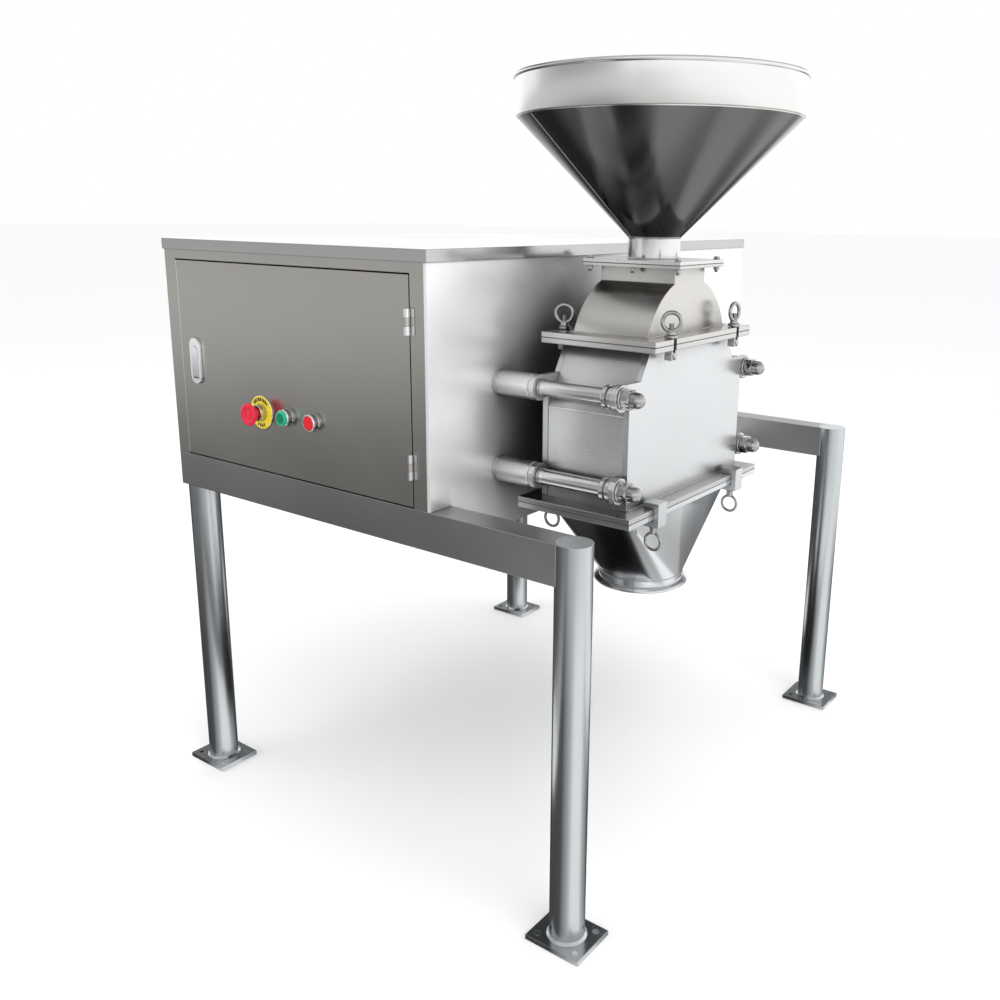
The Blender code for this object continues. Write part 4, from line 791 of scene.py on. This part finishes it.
def make_tie_rods():
    """The turned spacers with their grooves, and the studs that carry them."""
    start, end = BACK_PLATE[1] + GAP, FRONT_PLATE[0] - GAP
    ring = ROD_RADIUS + 0.0008
    groove = COLLAR_RADIUS - 0.0028
    profile = [
        (-0.020, 0),
        (-0.020, STUD_RADIUS),
        (start, STUD_RADIUS),
        (start, ring - 0.0008),
        (start + 0.0008, ring),
        (start + 0.0042, ring),
        (start + 0.0048, ring - 0.0012),
        (start + 0.0056, ring - 0.0012),
        (start + 0.0062, ring),
        (start + 0.0100, ring),
        (start + 0.0112, ROD_RADIUS),
        (end - 0.0215, ROD_RADIUS),
        (end - 0.0210, ROD_RADIUS + 0.0030),
        (end - 0.0190, COLLAR_RADIUS - 0.0006),
        (end - 0.0178, COLLAR_RADIUS),
        (end - 0.0116, COLLAR_RADIUS),
        (end - 0.0108, groove),
        (end - 0.0078, groove),
        (end - 0.0070, COLLAR_RADIUS),
        (end - 0.0008, COLLAR_RADIUS),
        (end, COLLAR_RADIUS - 0.0008),
        (end, STUD_RADIUS),
        (FRONT_PLATE[1] + 0.020, STUD_RADIUS),
        (FRONT_PLATE[1] + 0.020, 0),
    ]
    for place, centre in rod_places():
        name = f"tie_rod_{place}"
        piece(f"turned_{name}", turned(profile, "X", centre, 64), "turned_steel",
              replaced=[name], sharp=25)


def make_sleeves():
    """The turned finish of the stand-offs between the head wall and the mill."""
    tip = BACK_PLATE[0] - 2 * GAP
    face = STANDOFF_RADIUS + 0.0003
    profile = [
        (0.0004, STANDOFF_RADIUS - 0.0012),
        (0.0004, face),
        (tip - 0.0120, face),
        (tip - 0.0116, face - 0.0003),
        (tip - 0.0110, face - 0.0003),
        (tip - 0.0106, face),
        (tip - 0.0022, face),
        (tip - 0.0012, STANDOFF_RADIUS - 0.0012),
    ]
    for place, centre in rod_places():
        piece(f"sleeve_{place}", turned(profile, "X", centre, 64), "sleeve_steel",
              sharp=25)


def make_cap_nuts():
    """A flat washer, a chamfered hexagon and a round dome."""
    face = FRONT_PLATE[1] + GAP
    washer, hex_end, tip = face + 0.0030, face + 0.0175, face + 0.0375
    dome_radius = 0.0125
    dome = [(hex_end - 0.002, 0), (hex_end - 0.002, dome_radius), (hex_end + 0.0012, dome_radius)]
    dome += arc((tip - dome_radius, 0), dome_radius, 0, 90, 12)
    dome[-1] = (tip, 0)
    flat = [
        (face, 0.0100),
        (face, 0.0165),
        (face + 0.0005, 0.0170),
        (washer - 0.0005, 0.0170),
        (washer, 0.0165),
        (washer, 0.0100),
    ]
    for place, centre in rod_places():
        name = f"cap_nut_{place}"
        hexed = chamfered_hexagon("X", centre, washer - 0.0002, hex_end, NUT_FLATS, 0.0016)
        nut = joined(hexed, turned(dome, "X", centre, 48))
        piece(f"domed_{name}", nut, "polished", replaced=[name], sharp=24)
        piece(f"washer_{place}", turned(flat, "X", centre, 48), "plate_face")


def make_swing_bolts():
    """Pivot eye, threaded shank and forged eye nut."""
    ring_foot = SWING_RING_Z - SWING_RING[0]
    seat = INLET_Z[2] + 0.0012
    base_top = seat + 0.0045
    nut = [
        (seat, 0),
        (seat, 0.0100),
        (seat + 0.0005, 0.0105),
        (base_top - 0.0008, 0.0105),
        (base_top, 0.0098),
        (base_top + 0.0010, 0.0074),
        (ring_foot - 0.0005, 0.0068),
        (ring_foot + 0.0025, 0.0045),
        (ring_foot + 0.0025, 0),
    ]
    half = SWING_EYE_WIDTH / 2
    eye = [
        (-half, SWING_PIN_RADIUS + GAP),
        (-half, SWING_EYE_RADIUS - 0.0006),
        (-half + 0.0006, SWING_EYE_RADIUS),
        (half - 0.0006, SWING_EYE_RADIUS),
        (half, SWING_EYE_RADIUS - 0.0006),
        (half, SWING_PIN_RADIUS + GAP),
    ]
    for end, sign in FRONT_AND_REAR.items():
        for side, facing in SIDES.items():
            edge = FLANGE_X[1] if sign > 0 else FLANGE_X[0]
            x = edge - sign * SWING_INSET
            y = MILL_Y + SWING_SHIFT[end] + facing * SWING_Y
            turn = Matrix.Rotation(math.radians(SWING_RING_TURNS[f"{end}_{side}"]), 4, "Z")
            ring = moved(torus("Y", (0, 0, 0), *SWING_RING), turn)
            moved(ring, Matrix.Translation((x, y, SWING_RING_Z)))
            shank = threaded("Z", (x, y, 0), SWING_PIVOT_Z + 0.0065, seat + 0.001, SWING_BOLT_RADIUS,
                             0.00125, 0.0007)
            tip = threaded("Z", (x, y, 0), ring_foot + 0.001, ring_foot + 0.012, SWING_BOLT_RADIUS,
                           0.00125, 0.0005)
            name = f"swing_bolt_{end}_{side}"
            pivot = turned(eye, "Y", (x, y, SWING_PIVOT_Z), 40)
            whole = joined(pivot, shank, tip, turned(nut, "Z", (x, y, 0), 48), ring)
            piece(f"eye_{name}", whole, "polished", name, [name], sharp=30)


def make_clamp_screws():
    """Screw, shoulder and ring under each clamp."""
    ring_top = CLAMP_RING_Z + CLAMP_RING[0] - 0.0012
    under = CLAMP_UNDER - GAP
    shoulder = [
        (ring_top, 0),
        (ring_top, 0.0050),
        (ring_top + 0.0015, 0.0058),
        (under - 0.0042, 0.0058),
        (under - 0.0034, 0.0072),
        (under - 0.0004, 0.0072),
        (under, 0.0068),
        (under, 0),
    ]
    for end, x in CLAMP_SCREW_X.items():
        for side, facing in SIDES.items():
            y = MILL_Y + facing * CLAMP_Y
            name = f"clamp_screw_{end}_{side}"
            thread = threaded("Z", (x, y, 0), under - 0.001, DISCHARGE_Z[0] - GAP, CLAMP_SCREW_RADIUS,
                              0.0015, 0.0006)
            whole = joined(
                turned(shoulder, "Z", (x, y, 0), 40), thread,
                torus("Y", (x, y, CLAMP_RING_Z), *CLAMP_RING),
            )
            piece(f"ring_{name}", whole, "polished", name, [name], sharp=30)


def make_feed_bolts():
    """Six small hexagon bolts with nuts through the feed flange."""
    top, under = FEED_Z[2], FEED_Z[0]
    washers = [(0, 0), (0, 0.0062), (0.0008, 0.0062), (0.0008, 0)]
    places = [(x, MILL_Y + sign * FEED_BOLT_Y) for sign in SIDES.values() for x in FEED_BOLT_X]
    for number, (x, y) in enumerate(places, start=1):
        head = chamfered_hexagon("Z", (x, y, 0), top + 0.0008, top + 0.0048, 0.010, 0.0006)
        nut = chamfered_hexagon("Z", (x, y, 0), under - 0.0058, under - 0.0008, 0.010, 0.0006)
        upper = turned([(top + a, r) for a, r in washers], "Z", (x, y, 0), 32)
        lower = turned([(under - 0.0008 + a, r) for a, r in washers], "Z", (x, y, 0), 32)
        tip = threaded("Z", (x, y, 0), under - 0.0095, under - 0.0055, 0.003, 0.001, 0.0005)
        piece(f"feed_bolt_{number}", joined(head, nut, upper, lower, tip), "polished")


def strips(x_range, half_width, z, broken, thickness=0.0008, proud=0.0003, depth=0.006):
    """Gasket strips along a flange's four edges, broken at the slots listed as (end, y)."""
    low_z, high_z = z - thickness / 2, z + thickness / 2
    low_x, high_x = x_range[0] - proud, x_range[1] + proud
    low_y, high_y = MILL_Y - half_width - proud, MILL_Y + half_width + proud
    made = [
        block((low_x, low_y, low_z), (high_x, low_y + depth, high_z)),
        block((low_x, high_y - depth, low_z), (high_x, high_y, high_z)),
    ]
    for end, sign in FRONT_AND_REAR.items():
        cuts = sorted(y for at, y in broken if at == end)
        starts = [low_y] + [y + SWING_SLOT_HALF for y in cuts]
        ends = [y - SWING_SLOT_HALF for y in cuts] + [high_y]
        outer = high_x if sign > 0 else low_x
        inner = outer - sign * depth
        for start, stop in zip(starts, ends):
            made.append(block((min(inner, outer), start, low_z), (max(inner, outer), stop, high_z)))
    return joined(*made)


def make_gaskets():
    """Gaskets in the three flange joints, the upper one open where the swing bolts pass."""
    slots = []
    for end, shift in SWING_SHIFT.items():
        slots += [(end, MILL_Y + shift + facing * SWING_Y) for facing in SIDES.values()]
    piece("inlet_gasket", strips(FLANGE_X, INLET_HALF_WIDTH, INLET_Z[1], slots), "gasket")
    piece("discharge_gasket", strips(FLANGE_X, DISCHARGE_HALF_WIDTH, DISCHARGE_Z[1], []), "gasket")
    piece("feed_gasket", strips(FEED_X, FEED_HALF_WIDTH, FEED_Z[1], []), "gasket")


def make_creases():
    """The rounded fold across each side of the mill, a bead in the brighter finish: a painted highlight
    along the fold.
    """
    low, high = BACK_PLATE[1] + 2 * GAP, FRONT_PLATE[0] - 2 * GAP
    for side, sign in SIDES.items():
        y = MILL_Y + sign * (SIDE_HALF_WIDTH - 0.0008)
        crease = tube_along([(low, y, CREASE_Z), (high, y, CREASE_Z)], 0.0014, sides=16)
        piece(f"side_crease_highlight_{side}", crease, "bright_cast")


def make_welds():
    """Beads where tubes and sheets meet."""
    for place, centre in rod_places(0.0008):
        bead = torus("X", centre, STANDOFF_RADIUS + 0.0008, 0.0018, 48, 8)
        piece(f"standoff_weld_{place}", bead, "weld")
    foot = rectangle(CHUTE_X, CHUTE_HALF_WIDTH, INLET_Z[2] + 0.0004, 0.0006)
    piece("chute_foot_weld", tube_along(foot, 0.0013, closed=True), "weld")
    throat = rectangle(CHUTE_X, CHUTE_THROAT, FEED_Z[0] - 0.0003)
    piece("chute_throat_weld", tube_along(throat, 0.0011, closed=True), "weld")
    for end, x in (("front", FRONT_PLATE[1]), ("back", BACK_PLATE[0])):
        for edge, half, z, radius in PLATE_WELDS:
            line = [(x, MILL_Y - half, z), (x, MILL_Y + half, z)]
            piece(f"{end}_plate_{edge}_weld", tube_along(line, radius), "weld")
    ferrule = torus("Z", (OUTLET_X, MILL_Y, OUTLET_NECK_TOP), OUTLET_NECK_RADIUS + 0.0002, 0.0010, 96, 8)
    piece("outlet_neck_weld", ferrule, "weld")


def make_door_hem():
    """The rounded edge of the opening, seen through the gap at the door's latch side, in the brighter
    finish: a painted highlight along the gap.
    """
    x, front = DOOR_X[0] - DOOR_GAP / 2, DOOR_FACE + HEM + 0.0001
    ends = [(x, front, DOOR_Z[0]), (x, front, DOOR_Z[1])]
    piece("door_opening_hem_highlight", tube_along(ends, HEM, sides=12), "bright_cast")


def make_controls():
    """The legend disc with plain marks, and the finer heads of the three controls."""
    centre = (ESTOP_X, DOOR_FACE, CONTROL_Z)
    disc = [
        (-0.0026, 0.0150),
        (-0.0026, LEGEND_RADIUS - 0.0004),
        (-0.0022, LEGEND_RADIUS),
        (-0.0021, LEGEND_RADIUS),
        (-0.0021, 0.0150),
    ]
    piece("legend_disc", turned(disc, "Y", centre, 72), "yellow", "door")
    marks = []
    for start, stop, count in LEGEND_MARKS:
        for number in range(count):
            angle = math.radians(start + (stop - start) * (number + 0.5) / count)
            width = 0.0034 if number % 3 else 0.0024
            bar = block((-width / 2, -0.0028, -0.0031), (width / 2, -0.0024, 0.0031))
            moved(bar, Matrix.Translation((0, 0, LEGEND_MARKS_RADIUS)))
            moved(bar, Matrix.Rotation(math.pi / 2 - angle, 4, "Y"))
            marks.append(moved(bar, Matrix.Translation(centre)))
    piece("legend_marks", joined(*marks), "print", "door")

    head = [
        (-0.0302, 0),
        (-0.0303, 0.0105),
        (-0.0310, 0.0112),
        (-0.0318, 0.0125),
        (-0.0323, 0.0145),
        (-0.0322, 0.0170),
        (-0.0312, 0.0190),
        (-0.0296, 0.0199),
        (-0.0280, 0.0199),
        (-0.0266, 0.0188),
        (-0.0255, 0.0168),
        (-0.0240, 0.0152),
        (-0.0220, 0.0144),
        (-0.0203, 0.0140),
        (-0.0203, 0.0085),
        (0.0225, 0.0085),
        (0.0225, 0),
    ]
    piece("estop_mushroom", turned(head, "Y", centre, 72), "red", "estop_head",
          ["estop_head"])

    for name, (x, proud) in BUTTONS.items():
        middle = (x, DOOR_FACE, CONTROL_Z)
        body = f"{name}_button"
        cap = [
            (-proud + 0.0006, 0),
            (-proud + 0.0006, BUTTON_RADIUS - 0.0030),
            (-proud, BUTTON_RADIUS - 0.0024),
            (-proud, BUTTON_RADIUS - BUTTON_EDGE),
            (-proud + 0.0004, BUTTON_RADIUS - 0.0004),
            (-proud + BUTTON_EDGE, BUTTON_RADIUS),
            (-0.0080, BUTTON_RADIUS),
            (-0.0080, 0.0070),
            (0.0095, 0.0070),
            (0.0095, 0),
        ]
        if name == "stop":
            piece("stop_cap", turned(cap, "Y", middle, 64), "red_lens", body, [body])
        else:
            # painted light: the cap's side wall takes the brighter green
            piece("start_cap", turned(cap, "Y", middle, 64), "green_painted_lit", body, [body])
            face = [
                (-proud - 0.0001, 0),
                (-proud - 0.0001, BUTTON_RADIUS - 0.0034),
                (-proud + 0.0008, 0.0088),
                (-proud + 0.0008, 0),
            ]
            piece("start_lens", turned(face, "Y", middle, 64), "green_lens", body)
        # painted highlight and shade: the bezel's front ring takes the brighter finish, its barrel the
        # darkened chrome
        bezel_ring = [
            (-0.0128, BUTTON_RADIUS + GAP),
            (-0.0128, 0.0132),
            (-0.0121, 0.0142),
            (-0.0108, 0.0146),
            (-0.0100, 0.0146),
            (-0.0100, BUTTON_RADIUS + GAP),
        ]
        piece(f"{name}_bezel_ring", turned(bezel_ring, "Y", middle, 64), "bright_cast", "door")
        foot_ring = [(-0.0030, 0.0130), (-0.0030, 0.0156), (-0.0022, 0.0160), (-0.0002, 0.0160),
                     (-0.0002, 0.0130)]
        piece(f"{name}_bezel_foot", turned(foot_ring, "Y", middle, 64), "chrome", "door")


# ---------------------------------------------------------------- studio

RIGHT = (0.80, 0.60, 0)  # towards the bright end of the studio
BEHIND = (-0.75, 0.66, 0)
DIM = (-0.616, -0.788, 0)  # towards the dim end, to the left of the camera
LIT_SIDE = (0.98, -0.20, 0)  # the side of each leg that the floor lights
LEG_MIDDLE = (-0.04, 0, 0)
LEG_SPREAD = (0.44, 0.50, 0)
FLOOR_REACH = 60


def make_world():
    """A pale studio. What the metal mirrors is brighter to the right and overhead than to the left."""
    world = bpy.data.worlds.new("studio")
    bpy.context.scene.world = world
    world.use_nodes = True
    made = Nodes(world.node_tree)
    made.tree.nodes.clear()
    direction = made.add("ShaderNodeTexCoord").outputs["Generated"]
    upward = made.towards(direction, (0, 0, 1))
    to_dim = made.towards(direction, DIM)
    side = made.ramp(to_dim, (0.0, 1.0), (0.64, 0.98), (0.85, 0.86), (0.93, 0.46), (1.0, 0.30))
    height = made.ramp(upward, (0.0, 0.4), (0.49, 0.95), (0.60, 1.0), (0.70, 0.78), (0.85, 0.66),
                       (0.93, 0.45))
    band = made.ramp(upward, (0.62, 0.0), (0.68, 1.0), (0.85, 1.0), (0.92, 0.0))
    behind = made.ramp(made.towards(direction, BEHIND), (0.675, 1.0), (0.80, 0.14))
    shaded = made.mixed(band, (1, 1, 1), behind)
    mirrored = made.add("ShaderNodeBackground")
    mirrored.inputs["Strength"].default_value = 1.30
    made.link(made.multiplied(made.multiplied(side, height), shaded), mirrored.inputs["Color"])
    pale = made.add("ShaderNodeBackground")
    pale.inputs["Color"].default_value = (1, 1, 1, 1)
    made.finish("ShaderNodeOutputWorld", pale, mirrored)


def floor_glow(made, place):
    """What metal mirrors of the floor: painted shadow under the machine and beside each leg, bright to
    the right.
    """
    outward = made.vector("NORMALIZE", place)
    to_right = made.towards(outward, RIGHT)
    far = made.ramp(to_right, (0.0, 0.46), (0.3, 0.55), (0.7, 0.80), (1.0, 0.86))
    middle = made.ramp(to_right, (0.0, 0.13), (0.12, 0.15), (0.40, 0.42), (0.86, 0.62), (0.97, 0.74))
    behind = made.ramp(made.towards(outward, BEHIND), (0.675, 1.0), (0.80, 0.10))
    outer = made.mixed(made.beyond(place, 3.0, 8.0), made.multiplied(middle, behind), far)
    # painted shadow: a dark patch on the mirrored floor beside each leg, away from its lit side
    centred = made.vector("SUBTRACT", place, LEG_MIDDLE)
    leg = made.vector("MULTIPLY", made.vector("SIGN", centred), LEG_SPREAD)
    from_leg = made.towards(made.vector("NORMALIZE", made.vector("SUBTRACT", centred, leg)), LIT_SIDE)
    leg_shadows = made.ramp(from_leg, (0.0, 0.05), (0.45, 0.06), (0.75, 0.28), (0.86, 0.42), (0.97, 0.74))
    # painted shadow: dark on the mirrored floor under the machine
    under = made.ramp(made.beyond(place, 0.30, 0.62), (0.0, 0.04), (1.0, 1.0))
    near = made.multiplied(leg_shadows, under)
    return made.mixed(made.beyond(place, 1.5, 2.4), near, outer)


def make_floor():
    """A wide pale floor, with a separate glow for what the metal mirrors of it."""
    mesh = bpy.data.meshes.new("studio_floor")
    reach = FLOOR_REACH
    corners = [(-reach, -reach, 0), (reach, -reach, 0), (reach, reach, 0), (-reach, reach, 0)]
    mesh.from_pydata(corners, [], [(0, 1, 2, 3)])
    floor = bpy.data.objects.new("studio_floor", mesh)
    floor.location.z = -0.0006
    bpy.context.scene.collection.objects.link(floor)
    made = Surface("pale_floor")
    made.tree.nodes.clear()
    matt = made.add("ShaderNodeBsdfDiffuse")
    matt.inputs["Color"].default_value = (0.96, 0.96, 0.96, 1)
    place = made.add("ShaderNodeNewGeometry").outputs["Position"]
    mirrored = made.add("ShaderNodeEmission")
    mirrored.inputs["Strength"].default_value = 1.45
    made.link(floor_glow(made, place), mirrored.inputs["Color"])
    made.finish("ShaderNodeOutputMaterial", matt, mirrored)
    mesh.materials.append(made.material)


def make_light(name, place, target, size, power):
    """A soft lamp that no metal mirrors."""
    data = bpy.data.lights.new(name, "AREA")
    data.shape = "RECTANGLE"
    data.size, data.size_y = size
    data.energy = power
    light = bpy.data.objects.new(name, data)
    light.location = place
    aim = Vector(target) - Vector(place)
    light.rotation_euler = aim.to_track_quat("-Z", "Y").to_euler()
    light.visible_glossy = False
    bpy.context.scene.collection.objects.link(light)


def make_camera():
    """The camera at the photograph's place, turn and lens."""
    data = bpy.data.cameras.new("camera")
    data.sensor_width = 36
    data.lens = CAMERA_LENS
    data.shift_x, data.shift_y = CAMERA_SHIFT
    data.clip_start = 0.05
    camera = bpy.data.objects.new("camera", data)
    looking = Vector((
        -math.sin(CAMERA_AZIMUTH) * math.cos(CAMERA_DROP),
        math.cos(CAMERA_AZIMUTH) * math.cos(CAMERA_DROP),
        -math.sin(CAMERA_DROP),
    ))
    right = Vector((math.cos(CAMERA_AZIMUTH), math.sin(CAMERA_AZIMUTH), 0))
    up = right.cross(looking)
    cosine, sine = math.cos(CAMERA_ROLL), math.sin(CAMERA_ROLL)
    across = cosine * right + sine * up
    upward = cosine * up - sine * right
    camera.matrix_world = Matrix((
        (across.x, upward.x, -looking.x, CAMERA_PLACE[0]),
        (across.y, upward.y, -looking.y, CAMERA_PLACE[1]),
        (across.z, upward.z, -looking.z, CAMERA_PLACE[2]),
        (0, 0, 0, 1),
    ))
    bpy.context.scene.collection.objects.link(camera)
    bpy.context.scene.camera = camera


make_camera()
make_world()
make_floor()
make_light("key", (2.6, -1.2, 3.2), (0, 0, 0.6), (2.4, 2.4), 45)
make_light("fill", (-2.4, -2.6, 2.6), (0, 0, 0.6), (2.6, 2.6), 25)
make_light("top", (0, 0.6, 3.6), (0, 0, 0.5), (3, 3), 30)
bpy.context.scene.view_settings.view_transform = "Standard"

dress_nodes()
make_hopper()
make_tie_rods()
make_sleeves()
make_cap_nuts()
make_swing_bolts()
make_clamp_screws()
make_feed_bolts()
make_gaskets()
make_creases()
make_welds()
make_door_hem()
make_controls()
